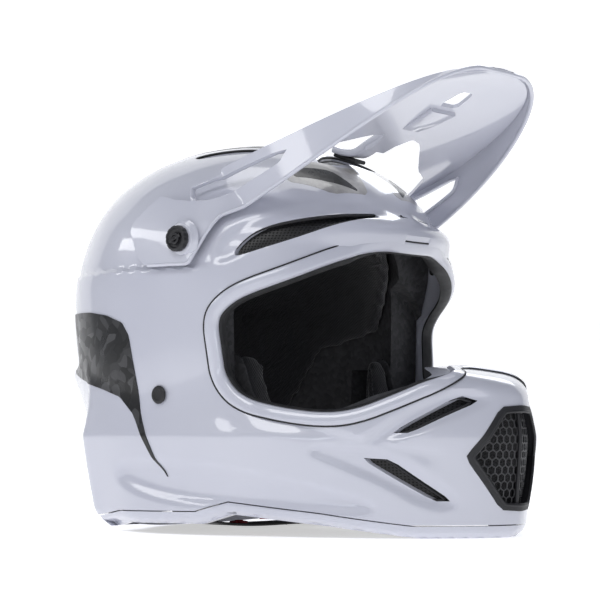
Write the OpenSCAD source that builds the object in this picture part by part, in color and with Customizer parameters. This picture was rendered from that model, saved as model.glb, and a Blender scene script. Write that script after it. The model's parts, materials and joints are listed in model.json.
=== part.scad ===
// Motocross helmet: composite shell, foam liners, cheek pads, chin strap and tilting visor.
// X points forward, Y to the wearer's left, Z up. The helmet rests on the plane Z = 0.

/* [Shell] */
// Largest half width of the shell
shell_half_w = 121; // [118:1:124]
// Height of the crown above the base plane
shell_top = 250; // [246:1:254]
// Height at which the shell is widest
belt_z = 146; // [142:1:150]
// Reach of the cranium forward of its own axis
brow_reach = 122; // [119:1:125]
// Reach of the cranium behind its own axis
rear_reach = 121; // [118:1:124]
// Wall thickness of the shell
wall = 3.5; // [3:0.5:4]
// Depth of the rear skirt from the head axis to its shelf
skirt_reach = 147; // [144:1:149]
// Height of the rear shelf
shelf_z = 103; // [100:1:105]

/* [Chin bar] */
// Length of the chin bar's curve from its root to the nose
chin_len = 176; // [173:1:179]
// Half width of the chin bar at its root
chin_half_w = 119; // [117:1:121]
// Height of the ridge along the chin bar
ridge_z = 60; // [56:1:64]
// Height of the chin bar's top face over its root
chin_top = 102; // [99:1:104]

/* [Visor] */
// Height of the visor's pivots
pivot_z = 179; // [178:1:181]
// Place of the visor's pivots, forward of the head axis
pivot_x = 29; // [27:1:30]
// Place of the visor's tip, forward of the head axis
tip_x = 183; // [178:1:186]
// Wall thickness of the visor
visor_wall = 3; // [2.5:0.5:3.5]
// Diameter of the knobs beside the pivots
knob_d = 16; // [14:0.5:18]
// Radius of the knobs' shanks
shank_r = 4; // [3:0.5:5]
// Running clearance of a shank in its bush, on the radius
shank_gap = 0.05; // [0.03:0.01:0.08]

/* [Liners] */
// Thickness of the shock-absorbing foam under the shell
foam = 27; // [24:1:28]
// Thickness of the comfort padding
padding = 9; // [7:1:10]
// Thickness of the low-friction slip liner
slip = 0.8; // [0.6:0.1:1]
// Gap between neighbouring layers
gap = 0.4; // [0.3:0.1:0.6]

/* [Chin strap] */
// Width of the strap's webbing
web_w = 22; // [20:1:25]
// Thickness of the webbing
web_t = 1.8; // [1.5:0.1:2]
// Diameter of the wire of the strap's rings
ring_wire = 3.4; // [3:0.2:4]

/* [Hidden] */

white = [0.86, 0.87, 0.91];
black = [0.06, 0.06, 0.065];
far = 400;

// The head axis lies behind the middle of the helmet's length, and the frame's origin is in that middle.
cranium_x = -8;
nose_end = 19 + chin_len;
rear_end = 3 - skirt_reach;
mid_x = (nose_end + rear_end) / 2;

// ---- the shell's shape, as a field that is zero on its outer face and negative inside ----
function smin(a, b, k) = let (h = max(k - abs(a - b), 0) / k) min(a, b) - h * h * k / 4;
function smax(a, b, k) = -smin(-a, -b, k);
function norm_p(a, b, c, p) = pow(pow(a, p) + pow(b, p) + pow(c, p), 1 / p);
function clamp(v, lo, hi) = min(max(v, lo), hi);
function mix(a, b, t) = a + (b - a) * t;

// Cranium: an egg-shaped dome over walls that draw in towards the neck
function cranium(p) =
    let (
        w = abs(p.y),
        rise = max(p.z - belt_z, 0) / (shell_top - belt_z),
        drop = clamp((belt_z - p.z) / belt_z, 0, 1.2),
        x = p.x - cranium_x,
        reach = x > 0 ? brow_reach * (1 - 0.06 * drop) : rear_reach * (1 - 0.42 * pow(drop, 1.7)),
        half = shell_half_w * (1 - 0.07 * pow(drop, 1.6))
    )
    (norm_p(abs(x) / reach, w / half, rise, 2.2) - 1) * 118;

// Rear skirt: the lower shell behind the head, with a shelf along its top
function skirt(p) =
    let (
        drop = clamp((shelf_z - p.z) / 95, 0, 1.2),
        reach = p.x > 0 ? 90 : skirt_reach - 52 * drop,
        half = chin_half_w - 6 - 7 * drop
    )
    smax((norm_p(abs(p.x) / reach, abs(p.y) / half, 0, 2.1) - 1) * 110, p.z - shelf_z, 5);

// Brow: a flat lens that stands proud round the front, over the eyeport
function brow(p) = (norm([(p.x - 8) / 112, p.y / 104, (p.z - 184) / 26]) - 1) * 60;

// Chin bar: a ridged bow whose faces slope away above and below the ridge
function chin(p) =
    let (
        over = max(p.z - ridge_z, 0) / 50,
        under = max(ridge_z - p.z, 0) / 55,
        draw = min(0.17 * pow(over, 1.2) + 0.11 * pow(under, 1.2), 0.7),
        x = max(p.x - 20, 0) / (chin_len * (1 - 0.25 * draw)),
        bow = (norm_p(x, abs(p.y) / (chin_half_w * (1 - draw)), 0, 1.6) - 1) * 95,
        lid = (p.z - chin_top + 0.22 * (p.x - 150)) * 0.976
    )
    smax(smax(bow, lid, 10), -p.x - 60, 6);

function field(p) = smin(smin(smin(cranium(p), skirt(p), 5), brow(p), 6), chin(p), 9);

// Distance along a ray from a centre to the level -depth of a field
function reach_of(kind, c, d, depth, lo, hi, n) =
    n == 0 ? (lo + hi) / 2 :
    let (
        m = (lo + hi) / 2,
        p = c + d * m,
        inside = (kind == "shell" ? field(p) : cranium(p)) < -depth
    )
    reach_of(kind, c, d, depth, inside ? m : lo, inside ? hi : m, n - 1);

// Half width of the shell at a place in side view, plus an offset outwards
function side_w(x, z, out) = reach_of("shell", [x, 0, z], [0, 1, 0], -out, 0, 180, 14);

// Closed skin over rings of points, capped by one point at each end
function skin_faces(rows, cols) = concat(
    [for (r = [0 : rows - 2], c = [0 : cols - 1])
        let (a = r * cols + c, b = r * cols + (c + 1) % cols) each [[a, a + cols, b], [b, a + cols, b + cols]]],
    [for (c = [0 : cols - 1]) [c, (c + 1) % cols, rows * cols]],
    [for (c = [0 : cols - 1]) [(rows - 1) * cols + (c + 1) % cols, (rows - 1) * cols + c, rows * cols + 1]]
);

// Solid inside one level of a field, round a centre from which every face is in sight
module level_solid(kind, c, depth, cols, rows, low = -50) {
    rays = [for (r = [0 : rows - 1], k = [0 : cols - 1])
        let (e = low + (90 - low) * (r + 0.5) / rows, a = 360 * k / cols)
        [cos(a) * cos(e), sin(a) * cos(e), sin(e)]];
    poles = [[0, 0, -1], [0, 0, 1]];
    points = [for (d = concat(rays, poles)) c + d * reach_of(kind, c, d, depth, 5, 340, 15)];
    polyhedron(points, skin_faces(rows, cols), convexity = 6);
}

// Every layer shares one grid, so that neighbouring faces never cross
module shell_solid(depth) level_solid("shell", [30, 0, 85], depth, 60, 22);

module core_solid(depth) level_solid("cranium", [0, 0, 110], depth, 36, 16);

// ---- prisms and helpers ----
// Moves a sub-part from the head axis to the frame's origin and makes it one mesh
module meshed() translate([-mid_x, 0, 0]) resize([0, 0, 0]) children();
module placed() translate([-mid_x, 0, 0]) children();

// Prism with its outline in side view, from y0 to y1
module side_prism(outline, y0, y1)
    translate([0, y1, 0]) rotate([90, 0, 0]) linear_extrude(y1 - y0) polygon(outline);

// Prism with its outline in front view, half of it given and mirrored, from x0 forward
module front_prism(half, x0, x1) {
    outline = concat(half, [for (i = [len(half) - 1 : -1 : 0]) if (half[i].x > 0) [-half[i].x, half[i].y]]);
    translate([x0, 0, 0]) rotate([90, 0, 90]) linear_extrude(x1 - x0) polygon(outline);
}

// Prism with its outline in plan, from z0 to z1
module plan_prism(outline, z0, z1) translate([0, 0, z0]) linear_extrude(z1 - z0) polygon(outline);

// Draws its children on the wearer's left, or mirrored on the right
module on_side(left) if (left) children(); else mirror([0, 1, 0]) children();

// Lower edge of the shell in side view: level at the nose and the rear, raised along the sides
base_line = [[-far, 0], [-70, 0], [-30, 6], [32, 7], [52, 13], [106, 7], [152, 0], [far, 0]];
function raised(line, h) = [for (q = line) [q.x, q.y + h]];
trim_h = 8;
module below(line) side_prism(concat(line, [[far, -far], [-far, -far]]), -far, far);
module above(line) side_prism(concat(line, [[far, far], [-far, far]]), -far, far);

// Eyeport in front view, right half, from the brow's middle round to the chin bar's
eye_half = [[0, 174], [33, 175], [61, 167], [87, 155], [103, 146], [109, 137], [110.5, 128], [109, 112],
    [107, 92], [104, 81], [97, 75], [87, 72], [77, 74], [62, 83], [45, 93], [20, 101], [0, 103]];
eye_mid = [0, 125];
function grown(half, k) = [for (q = half) eye_mid + [(q.x - eye_mid.x) * (1 + k / 110), (q.y - eye_mid.y) * (1 + k / 50)]];
module eyeport(k = 0) front_prism(grown(eye_half, k), 36, far);

// Slots and vents, each cut straight through the wall
upper_slot = [[146, 62], [155, 62], [181, 80.5], [173, 84]];
lower_slot = [[130, 47.5], [145, 46.5], [170, 22], [162, 22]];
brow_slot = [[55, 169.5], [60, 179], [69, 186.5], [86, 193], [100, 197.5], [107, 199], [106, 193], [94, 184],
    [77, 175.5], [60, 168]];
crown_slot = [[50, 0], [54, 16], [60, 29], [66, 29], [67, 15], [64, 0]];
crown_side_slot = [[-14, 58], [4, 50], [30, 40], [38, 42], [24, 56], [2, 66], [-12, 66]];
module upper_cut(k = 0) side_prism(offset_line(upper_slot, k), 15, 90);
module lower_cut(k = 0) side_prism(offset_line(lower_slot, k), 25, 100);
module brow_cut(k = 0) side_prism(offset_line(brow_slot, k), 22, 120);
module crown_cut(k = 0) plan_prism(mirrored(offset_line(crown_slot, k)), 190, 260);
module crown_side_cut(k = 0) plan_prism(offset_line(crown_side_slot, k), 190, 260);
function mirrored(half) = concat(half, [for (i = [len(half) - 1 : -1 : 0]) if (half[i].y > 0) [half[i].x, -half[i].y]]);
function centre_of(line) = [for (i = [0, 1]) let (v = [for (q = line) q[i]]) (max(v) + min(v)) / 2];
function offset_line(line, k) =
    let (c = centre_of(line)) [for (q = line) let (d = q - c) c + d * (1 - k / max(norm(d), 1))];

// Mouth opening: the front view of the nose, a pentagon each side of the middle line
mouth_half = [[0, 78], [15, 77], [35, 49], [33, 44], [14, 17], [0, 16]];
module mouth_cut(k = 0) front_prism(
    [for (q = mouth_half) [max(q.x - k, 0), 47 + (q.y - 47) * (1 - k / 30)]], 160, far);

// ---- shell ----
module outer_shell() color(white) meshed() difference() {
    shell_solid(0);
    shell_solid(wall);
    below(raised(base_line, trim_h));
    eyeport();
    mouth_cut();
    for (left = [true, false]) on_side(left) {
        upper_cut();
        lower_cut();
        brow_cut();
        crown_side_cut();
        pivot_hole(7.2);
        translate([rivet_x, 0, rivet_z]) rotate([-90, 0, 0]) cylinder(r = 2.6, h = far, $fn = 24);
    }
    crown_cut();
}

rivet_x = 10;
rivet_z = 85;
module pivot_hole(r) translate([pivot_x, 60, pivot_z]) rotate([-90, 0, 0]) cylinder(r = r, h = 100, $fn = 32);

module base_trim() color([0.8, 0.81, 0.85]) meshed() difference() {
    shell_solid(0.2);
    shell_solid(wall);
    below(base_line);
    above(raised(base_line, trim_h - 0.1));
}

// The trim is a rubber bead that lines the eyeport's edge
module eyeport_trim() color([0.12, 0.12, 0.13]) meshed() difference() {
    intersection() {
        shell_solid(-0.6);
        eyeport(-0.2);
    }
    shell_solid(wall + 4);
    eyeport(-3.2);
}

// ---- visor ----
// Height of the visor's lower edge and of the shoulder above it, along its length
function edge_z(x) = x < 47 ? mix(164, 192, clamp((x - 34) / 13, 0, 1))
    : 192 + 0.469 * (x - 45) + 0.00125 * pow(x - 45, 2);
function shoulder_z(x) = max(213 + 0.26 * x + 0.0006 * x * x, edge_z(x) + 1);
function along_visor(x) = clamp((x - 45) / (tip_x - 45), 0, 1);
function visor_w(x) = 98.3 * pow(max(1 - pow(along_visor(x), 1.54), 0.0016), 1 / 3);
// Half width of the visor's side wall: clear of the shell beside the pivots, on its own curve in front
plate_gap = 5.5;
shoulder_gap = 5;
plate_end = 70;
function wall_w(x, v) =
    let (z = mix(edge_z(x), shoulder_z(x), v), own = visor_w(x) - 4 * v)
    x > plate_end ? own : max(side_w(x, z, plate_gap + shoulder_gap * v * v), own);
// Half section of the visor at a station: the side wall from its edge to the shoulder, then the roof
function visor_half(x, inset) = concat(
    [for (v = [0 : 0.2 : 1]) let (w = wall_w(x, v)) [w - inset, mix(edge_z(x), shoulder_z(x), v) - (v > 0.9 ? inset : 0)]],
    [for (t = [0.8, 0.55, 0.28, 0]) [t * (wall_w(x, 1) - 4), shoulder_z(x) - inset + 3.5 * (1 - t * t)]]
);
function visor_ring(x) = let (
        outer = visor_half(x, 0), inner = visor_half(x, min(visor_wall, 0.4 * visor_w(x))), n = len(outer)
    ) concat(
    [for (q = outer) [x, q.x, q.y]], [for (i = [n - 2 : -1 : 0]) [x, -outer[i].x, outer[i].y]],
    [for (q = inner) [x, -q.x, q.y]], [for (i = [n - 2 : -1 : 0]) [x, inner[i].x, inner[i].y]]
);
visor_stations = [-14, -6, 3, 12, 22, 31, 34, 38, 43, 47, 52, 60, 70, 82, 94, 106, 118, 130, 142, 153, 163, 171, 177, 181, tip_x - 0.3];
module visor_blank() {
    rings = [for (x = visor_stations) visor_ring(x)];
    n = len(rings[0]);
    m = len(rings);
    points = [for (ring = rings) each ring];
    half = n / 2;
    last = (m - 1) * n;
    sides = [for (r = [0 : m - 2], c = [0 : n - 1])
        let (a = r * n + c, b = r * n + (c + 1) % n) each [[a, a + n, b], [b, a + n, b + n]]];
    ends = [for (c = [0 : half - 2]) each [
        [c, c + 1, n - 1 - c], [c + 1, n - 2 - c, n - 1 - c],
        [last + c + 1, last + c, last + n - 1 - c], [last + c + 1, last + n - 1 - c, last + n - 2 - c]]];
    polyhedron(points, concat(sides, ends), convexity = 8);
}
side_window = [[88, 233], [23, 213], [27, 203], [39, 203], [71, 218], [83, 224]];
rear_edge = [[-60, 120], [3, 120], [3, 164], [-3, 169], [-13, 186], [-12, 192], [9, 213], [9, 260], [-60, 260]];
// Plan of one of the openings between the middle spine and a side arm
roof_opening = [[-60, 9], [92, 9], [104, 14], [101, 26], [74, 60], [66, 78], [48, 89],
    [34, 97], [26, 112], [-60, 112]];
spine_half = 9;
bush_r = 6.5;
boss_h = 2.8;
foot_x = 64;
foot_z = 237.5;

// Bar of the visor's middle spine, from one place on the middle line to another
module spine_bar(from, to, w0, w1, tilt) hull() {
    translate([from.x, 0, from.y]) rotate([0, tilt.x, 0]) cube([2, w0, 4], center = true);
    translate([to.x, 0, to.y]) rotate([0, tilt.y, 0]) cube([2, w1, 4], center = true);
}

module visor_body() {
    difference() {
        visor_blank();
        side_prism(side_window, -far, far);
        side_prism(rear_edge, -far, far);
        for (left = [true, false]) on_side(left) plan_prism(roof_opening, 196, 300);
        plan_prism([[-60, -10], [84, -10], [84, 10], [-60, 10]], 196, 300);
        plan_prism([[139, -8], [157, -8], [157, 8], [139, 8]], 200, 300);
    }
    spine_bar([84, 246], [112, 253.5], 2 * spine_half - 2, 2 * spine_half + 4, [-24, -24]);
    spine_bar([foot_x + 6, foot_z + 2], [85, 246], 2 * spine_half - 4, 2 * spine_half - 2, [0, -24]);
    spine_bar([foot_x - 9, foot_z + 6.5], [foot_x + 9, foot_z], 2 * spine_half, 2 * spine_half - 2, [18, 24]);
    // Flat bosses round the pivots
    for (left = [true, false]) on_side(left) translate([pivot_x, plate_w - 1, pivot_z]) rotate([-90, 0, 0])
        cylinder(r = knob_d / 2 + 2, h = 1 + boss_h, $fn = 40);
}

module visor() color(white) meshed() difference() {
    visor_body();
    for (left = [true, false]) on_side(left) pivot_hole(bush_r);
}

// Rubber pad under the spine's foot, which keeps it off the crown
module visor_foot_pad() color([0.1, 0.1, 0.1]) meshed() hull() {
    translate([foot_x + 8, 0, foot_z - 4]) rotate([0, 24, 0]) cube([4, 2 * spine_half - 8, 2], center = true);
    translate([foot_x - 8, 0, foot_z + 2.6]) rotate([0, 18, 0]) cube([4, 2 * spine_half - 8, 2], center = true);
}

plate_w = side_w(pivot_x, pivot_z, plate_gap);
module along_pivot(left, w) placed() on_side(left) translate([pivot_x, w, pivot_z]) rotate([-90, 0, 0]) children();

// Bush moulded into the visor's side plate, with the bore that turns on the shank
module visor_bush(left) color([0.2, 0.2, 0.22]) along_pivot(left, plate_w - 1.4) difference() {
    cylinder(r = bush_r - 0.1, h = boss_h + 1.4, $fn = 64);
    translate([0, 0, -1]) cylinder(r = shank_r + shank_gap, h = 9, $fn = 64);
}
module visor_bush_left() visor_bush(true);
module visor_bush_right() visor_bush(false);

// Knob: a cap with a raised bar and a shank that screws into the nut inside the shell
knob_h = 5;
shank_len = 22;
module visor_knob(left) color(black) along_pivot(left, plate_w + boss_h + gap) {
    difference() {
        union() {
            cylinder(d = knob_d, h = knob_h - 1.5, $fn = 64);
            translate([0, 0, knob_h - 1.5]) cylinder(d1 = knob_d, d2 = knob_d - 3, h = 1.5, $fn = 64);
        }
        for (s = [-1, 1]) translate([s * 4.2, 0, knob_h - 1]) cube([3.4, 9, 3], center = true);
    }
    translate([0, 0, -shank_len]) cylinder(r = shank_r, h = shank_len + 0.5, $fn = 64);
}
module visor_knob_left() visor_knob(true);
module visor_knob_right() visor_knob(false);

// Flanged nut bonded into the shell, where the shank ends
module visor_nut(left) color([0.7, 0.7, 0.72]) along_pivot(left, plate_w + boss_h - shank_len + 1) difference() {
    union() {
        cylinder(r = 6.9, h = 9.5, $fn = 48);
        cylinder(r = 9.5, h = 2.5, $fn = 48);
    }
    translate([0, 0, -1]) cylinder(r = shank_r + 0.08, h = 20, $fn = 64);
}
module visor_nut_left() visor_nut(true);
module visor_nut_right() visor_nut(false);

// ---- vents ----
module mouth_vent_frame() color(black) meshed() difference() {
    intersection() {
        shell_solid(-0.4);
        mouth_cut(0.3);
    }
    shell_solid(9);
    mouth_cut(4);
}
module mouth_vent_grille() color([0.1, 0.1, 0.11]) meshed() difference() {
    intersection() {
        shell_solid(2);
        mouth_cut(4.2);
    }
    shell_solid(4.5);
}
module mouth_vent_filter() color([0.16, 0.16, 0.17]) meshed() difference() {
    intersection() {
        shell_solid(5.2);
        mouth_cut(4.4);
    }
    shell_solid(8.5);
}

// Insert that fills a slot, set back below the shell's face
module slot_insert(left, depth_top, depth_base) color(black) meshed() on_side(left) difference() {
    intersection() {
        shell_solid(depth_top);
        children();
    }
    shell_solid(depth_base);
}
module chin_upper_vent_left() slot_insert(true, 1.4, 3.7) upper_cut(0.3);
module chin_upper_vent_right() slot_insert(false, 1.4, 3.7) upper_cut(0.3);
module chin_lower_vent_left() slot_insert(true, 1.4, 3.7) lower_cut(0.3);
module chin_lower_vent_right() slot_insert(false, 1.4, 3.7) lower_cut(0.3);
module brow_vent_left() slot_insert(true, 1.4, 3.7) brow_cut(0.4);
module brow_vent_right() slot_insert(false, 1.4, 3.7) brow_cut(0.4);
module crown_front_vent() slot_insert(true, 1.4, 3.7) crown_cut(0.4);
module crown_side_vent_left() slot_insert(true, 1.4, 3.7) crown_side_cut(0.4);
module crown_side_vent_right() slot_insert(false, 1.4, 3.7) crown_side_cut(0.4);

// Dark cover plates bonded on the rear quarters, each with a tail that runs down the side
rear_outline = [[-150, 140], [-58, 138], [-36, 135], [-21, 130], [-15, 122], [-8, 90], [-5, 73], [13, 32],
    [-11, 73], [-24, 84], [-42, 89], [-96, 97], [-150, 104]];
module rear_panel(left) color([0.1, 0.1, 0.1]) meshed() on_side(left) difference() {
    intersection() {
        shell_solid(-1.1);
        side_prism(rear_outline, 28, 130);
    }
    shell_solid(-0.3);
}
module rear_panel_left() rear_panel(true);
module rear_panel_right() rear_panel(false);

// ---- liners ----
// Side views of what each layer keeps
foam_keep = [[-160, 26], [24, 26], [38, 56], [42, 145], [60, 181], [160, 184], [160, 270], [-160, 270]];
lining_keep = [[-130, 66], [-52, 66], [-26, 118], [26, 128], [56, 186], [130, 190], [130, 260], [-130, 260]];
foam_face = wall + gap + foam;

module crown_foam() color([0.2, 0.2, 0.21]) meshed() difference() {
    intersection() {
        shell_solid(wall + gap);
        side_prism(foam_keep, -far, far);
    }
    core_solid(foam_face);
    eyeport(0.4);
    for (left = [true, false]) on_side(left) {
        strap_channel();
        pivot_hole(12);
    }
}

// Channel through the foam for the strap and its anchor
module strap_channel() translate([rivet_x - 15, 84, -1]) cube([30, 36, 106]);

mouth_space = [for (a = [-90 : 10 : 90]) [26 + 122 * pow(cos(a), 0.9), 84 * sin(a)]];
module chin_foam() color([0.2, 0.2, 0.21]) meshed() difference() {
    intersection() {
        shell_solid(wall + gap);
        side_prism([[44, 14], [106, 12], [150, 8], [152, 8], [152, 92], [128, 84], [100, 68], [44, 66]], -far, far);
    }
    plan_prism(mouth_space, -1, far);
    eyeport(0.4);
}

module slip_liner() color([0.75, 0.72, 0.2]) meshed() difference() {
    intersection() {
        core_solid(foam_face + gap);
        side_prism(lining_keep, -far, far);
    }
    core_solid(foam_face + gap + slip);
    plan_prism([for (a = [0 : 15 : 345]) [cranium_x + 14 * cos(a), 14 * sin(a)]], 150, 260);
}

module comfort_liner() color([0.14, 0.14, 0.15]) meshed() difference() {
    intersection() {
        core_solid(foam_face + 2 * gap + slip);
        side_prism(lining_keep, -far, far);
    }
    core_solid(foam_face + 2 * gap + slip + padding);
}

// Padded roll round the back of the neck opening
module neck_roll() color([0.13, 0.13, 0.14]) meshed() intersection() {
    difference() {
        core_solid(foam_face + gap);
        core_solid(foam_face + 17);
    }
    side_prism([[-130, 27], [-20, 27], [-20, 44], [-62, 48], [-130, 54]], -far, far);
}

// Cheek pads: straight-sided downwards, so that they pull out through the neck opening
pad_plan = [[28, 74], [64, 69], [84, 56], [87, 48], [72, 46], [50, 50], [32, 56], [26, 61], [25, 69]];
pad_side = [[20, 30], [60, 27], [94, 40], [92, 66], [60, 72], [46, 84], [38, 112], [22, 112]];
plate_plan = [[28, 76.4], [65, 71.2], [64.7, 69.4], [28, 74.5]];
module cheek_pad(left) color([0.13, 0.13, 0.14]) meshed() on_side(left) intersection() {
    plan_prism(pad_plan, 0, 140);
    side_prism(pad_side, 0, 100);
}
module cheek_pad_plate(left) color([0.3, 0.3, 0.32]) meshed() on_side(left) intersection() {
    plan_prism(plate_plan, 0, 140);
    side_prism(pad_side, 0, 100);
}
module cheek_pad_left() cheek_pad(true);
module cheek_pad_right() cheek_pad(false);
module cheek_pad_plate_left() cheek_pad_plate(true);
module cheek_pad_plate_right() cheek_pad_plate(false);

// Red tab sewn under a pad, which a helper pulls to take the pad out
module pull_tab(left) color([0.6, 0.05, 0.06]) placed() on_side(left) translate([44, 64, 8])
    rotate([0, 0, -9]) cube([16, 1.6, 22]);
module pull_tab_left() pull_tab(true);
module pull_tab_right() pull_tab(false);

// ---- chin strap ----
rivet_w = side_w(rivet_x, rivet_z, 0);
anchor_w = rivet_w - 14;
strap_top = rivet_z - 6;
module along_rivet(left, w) placed() on_side(left) translate([rivet_x, w, rivet_z]) rotate([-90, 0, 0]) children();

module strap_rivet(left) color(black) along_rivet(left, anchor_w - 2) {
    cylinder(r = 2.5, h = rivet_w - anchor_w + 3, $fn = 32);
    translate([0, 0, rivet_w - anchor_w + 2.8]) cylinder(r1 = 5.6, r2 = 4.2, h = 1.6, $fn = 48);
    cylinder(r = 4.5, h = 1, $fn = 32);
}
module strap_rivet_left() strap_rivet(true);
module strap_rivet_right() strap_rivet(false);

module strap_anchor(left) color([0.65, 0.65, 0.67]) along_rivet(left, anchor_w + 1) difference() {
    hull() {
        cylinder(r = 8, h = 1.2, $fn = 32);
        translate([0, 14, 0.6]) cube([web_w + 2, 6, 1.2], center = true);
    }
    translate([0, 0, -1]) cylinder(r = 2.6, h = 4, $fn = 32);
}
module strap_anchor_left() strap_anchor(true);
module strap_anchor_right() strap_anchor(false);

// Webbing along a path in front view, its width along X
module webbing(path) for (i = [0 : len(path) - 2]) hull() for (q = [path[i], path[i + 1]])
    translate([rivet_x, q.x, q.y]) rotate([0, 90, 0]) cylinder(d = web_t, h = web_w, center = true, $fn = 8);

// The ring side ends in a loop that holds both rings' bars
ring_y = 20;
ring_low = 9;
ring_high = 18.5;
web_low = 3.4;
ring_loop = [[12, 5], [3.2, 11.6], [0, 12.6], [-3.2, 11.6], [-3.8, 9.5], [-3.8, 0], [-3.2, -2.1], [0, -3.1], [3.2, -2.1], [12, 5]];
module chin_strap_ring_side() color(black) placed() webbing(concat(
    [[anchor_w, strap_top], [anchor_w, 26], [anchor_w - 8, 17], [76, ring_low + 5]],
    [for (q = ring_loop) [ring_y, ring_low] + q]));
module chin_strap_tail_side() color(black) placed() mirror([0, 1, 0]) webbing([[anchor_w, strap_top], [anchor_w, 26], [anchor_w - 10, 10],
    [60, web_low], [-ring_y + 6, web_low]]);

// Wire rings: a straight bar closed by a half round, flat over each other
module d_ring(z) placed() translate([rivet_x, ring_y, z]) {
    r = web_w / 2 + 3.5;
    rotate([0, 90, 0]) cylinder(d = ring_wire, h = 2 * r, center = true, $fn = 24);
    rotate([0, 0, 180]) rotate_extrude(angle = 180, $fn = 48) translate([r, 0]) circle(d = ring_wire, $fn = 16);
    for (s = [-1, 1]) translate([s * r, 0, 0]) sphere(d = ring_wire, $fn = 24);
}
module d_ring_upper() color([0.75, 0.75, 0.77]) d_ring(ring_high);
module d_ring_lower() color([0.75, 0.75, 0.77]) d_ring(ring_low);

module strap_snap() color([0.55, 0.05, 0.06]) placed() translate([rivet_x, -46, web_low + web_t / 2]) cylinder(r = 6, h = 2.4, $fn = 40);

outer_shell();
base_trim();
eyeport_trim();
visor();
visor_bush_left();
visor_bush_right();
visor_knob_left();
visor_knob_right();
visor_nut_left();
visor_nut_right();
visor_foot_pad();
mouth_vent_frame();
mouth_vent_grille();
mouth_vent_filter();
chin_upper_vent_left();
chin_upper_vent_right();
chin_lower_vent_left();
chin_lower_vent_right();
brow_vent_left();
brow_vent_right();
crown_front_vent();
crown_side_vent_left();
crown_side_vent_right();
rear_panel_left();
rear_panel_right();
crown_foam();
chin_foam();
slip_liner();
comfort_liner();
neck_roll();
cheek_pad_left();
cheek_pad_right();
cheek_pad_plate_left();
cheek_pad_plate_right();
pull_tab_left();
pull_tab_right();
strap_rivet_left();
strap_rivet_right();
strap_anchor_left();
strap_anchor_right();
chin_strap_ring_side();
chin_strap_tail_side();
d_ring_upper();
d_ring_lower();
strap_snap();
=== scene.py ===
# %% [markdown]
# # A motocross helmet, built round its CAD frame
# The CAD part holds the sizes, the joints and the collision. This script adds what the eye needs:
# smooth shells, cut vents, mesh grilles, stitched padding and finishes, each piece riding on its CAD body.

# %% The frame
import bpy
import bmesh
import json
import math
import numpy as np
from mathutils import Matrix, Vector
from mathutils.bvhtree import BVHTree

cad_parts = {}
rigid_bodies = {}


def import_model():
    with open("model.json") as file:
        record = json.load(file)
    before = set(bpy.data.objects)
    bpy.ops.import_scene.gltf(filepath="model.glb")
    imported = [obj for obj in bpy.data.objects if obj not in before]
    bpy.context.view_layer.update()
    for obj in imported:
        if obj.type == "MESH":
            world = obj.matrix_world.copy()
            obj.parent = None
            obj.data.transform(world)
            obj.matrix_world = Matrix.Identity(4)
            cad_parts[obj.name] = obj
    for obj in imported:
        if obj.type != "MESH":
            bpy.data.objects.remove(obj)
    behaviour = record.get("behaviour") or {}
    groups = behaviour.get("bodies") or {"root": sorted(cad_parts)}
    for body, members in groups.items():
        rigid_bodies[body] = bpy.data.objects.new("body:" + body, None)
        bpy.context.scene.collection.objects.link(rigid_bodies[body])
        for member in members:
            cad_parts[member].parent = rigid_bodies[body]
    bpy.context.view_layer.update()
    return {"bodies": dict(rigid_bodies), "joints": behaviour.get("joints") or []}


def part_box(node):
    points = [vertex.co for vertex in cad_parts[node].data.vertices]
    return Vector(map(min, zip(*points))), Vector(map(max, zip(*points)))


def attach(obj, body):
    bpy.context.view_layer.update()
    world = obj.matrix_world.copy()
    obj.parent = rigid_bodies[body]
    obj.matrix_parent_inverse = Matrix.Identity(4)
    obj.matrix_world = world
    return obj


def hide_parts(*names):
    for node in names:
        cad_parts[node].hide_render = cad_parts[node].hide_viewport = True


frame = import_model()
bodies = sorted(frame["bodies"])
print("bodies:", bodies)

# %% [markdown]
# The shell is easiest to think about from the head's own axis, in millimetres. The frame's origin
# lies under the middle of the helmet, so the head axis is found from the visor's pivot, which the
# design puts 29 mm in front of it. One function turns head millimetres into frame metres.

# %% From the head axis to the frame
MM = 0.001
PIVOT = np.array([29.0, 0.0, 179.0])
joint = {j["name"]: j for j in frame["joints"]}
pivot_m = np.array(joint["visor_tilt"]["pos_m"])
head_x = pivot_m[0] / MM - PIVOT[0]


def to_frame(points):
    return (np.asarray(points, float) + [head_x, 0, 0]) * MM


print("head axis at x =", round(head_x, 2), "mm in the frame")

# %% [markdown]
# Every mesh is made from plain arrays of points and faces.

# %% Making a piece
scene = bpy.context.scene


def link_mesh(name, points, faces, metres=False):
    mesh = bpy.data.meshes.new(name)
    points = np.asarray(points, float) if metres else to_frame(points)
    mesh.from_pydata(points.tolist(), [], [list(f) for f in faces])
    mesh.update()
    obj = bpy.data.objects.new(name, mesh)
    scene.collection.objects.link(obj)
    return obj


def outward(obj, triangulated=False):
    """The object with its faces turned outwards, and its many-sided faces cut up if asked."""
    mesh = bmesh.new()
    mesh.from_mesh(obj.data)
    if triangulated:
        bmesh.ops.triangulate(mesh, faces=[f for f in mesh.faces if len(f.verts) > 4])
    bmesh.ops.recalc_face_normals(mesh, faces=mesh.faces)
    mesh.to_mesh(obj.data)
    mesh.free()
    return obj


def tube_faces(rings, m, closed=False):
    """Faces between rings of m points, with an end cap on each end of an open tube."""
    count = rings if closed else rings - 1
    faces = [(i * m + j, i * m + (j + 1) % m, (i + 1) % rings * m + (j + 1) % m, (i + 1) % rings * m + j)
             for i in range(count) for j in range(m)]
    if not closed:
        faces += [tuple(range(m))[::-1], tuple((rings - 1) * m + j for j in range(m))]
    return faces


def shade(obj, angle=35):
    obj.data.shade_smooth()
    obj.data.set_sharp_from_angle(angle=math.radians(angle))
    return obj


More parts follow.
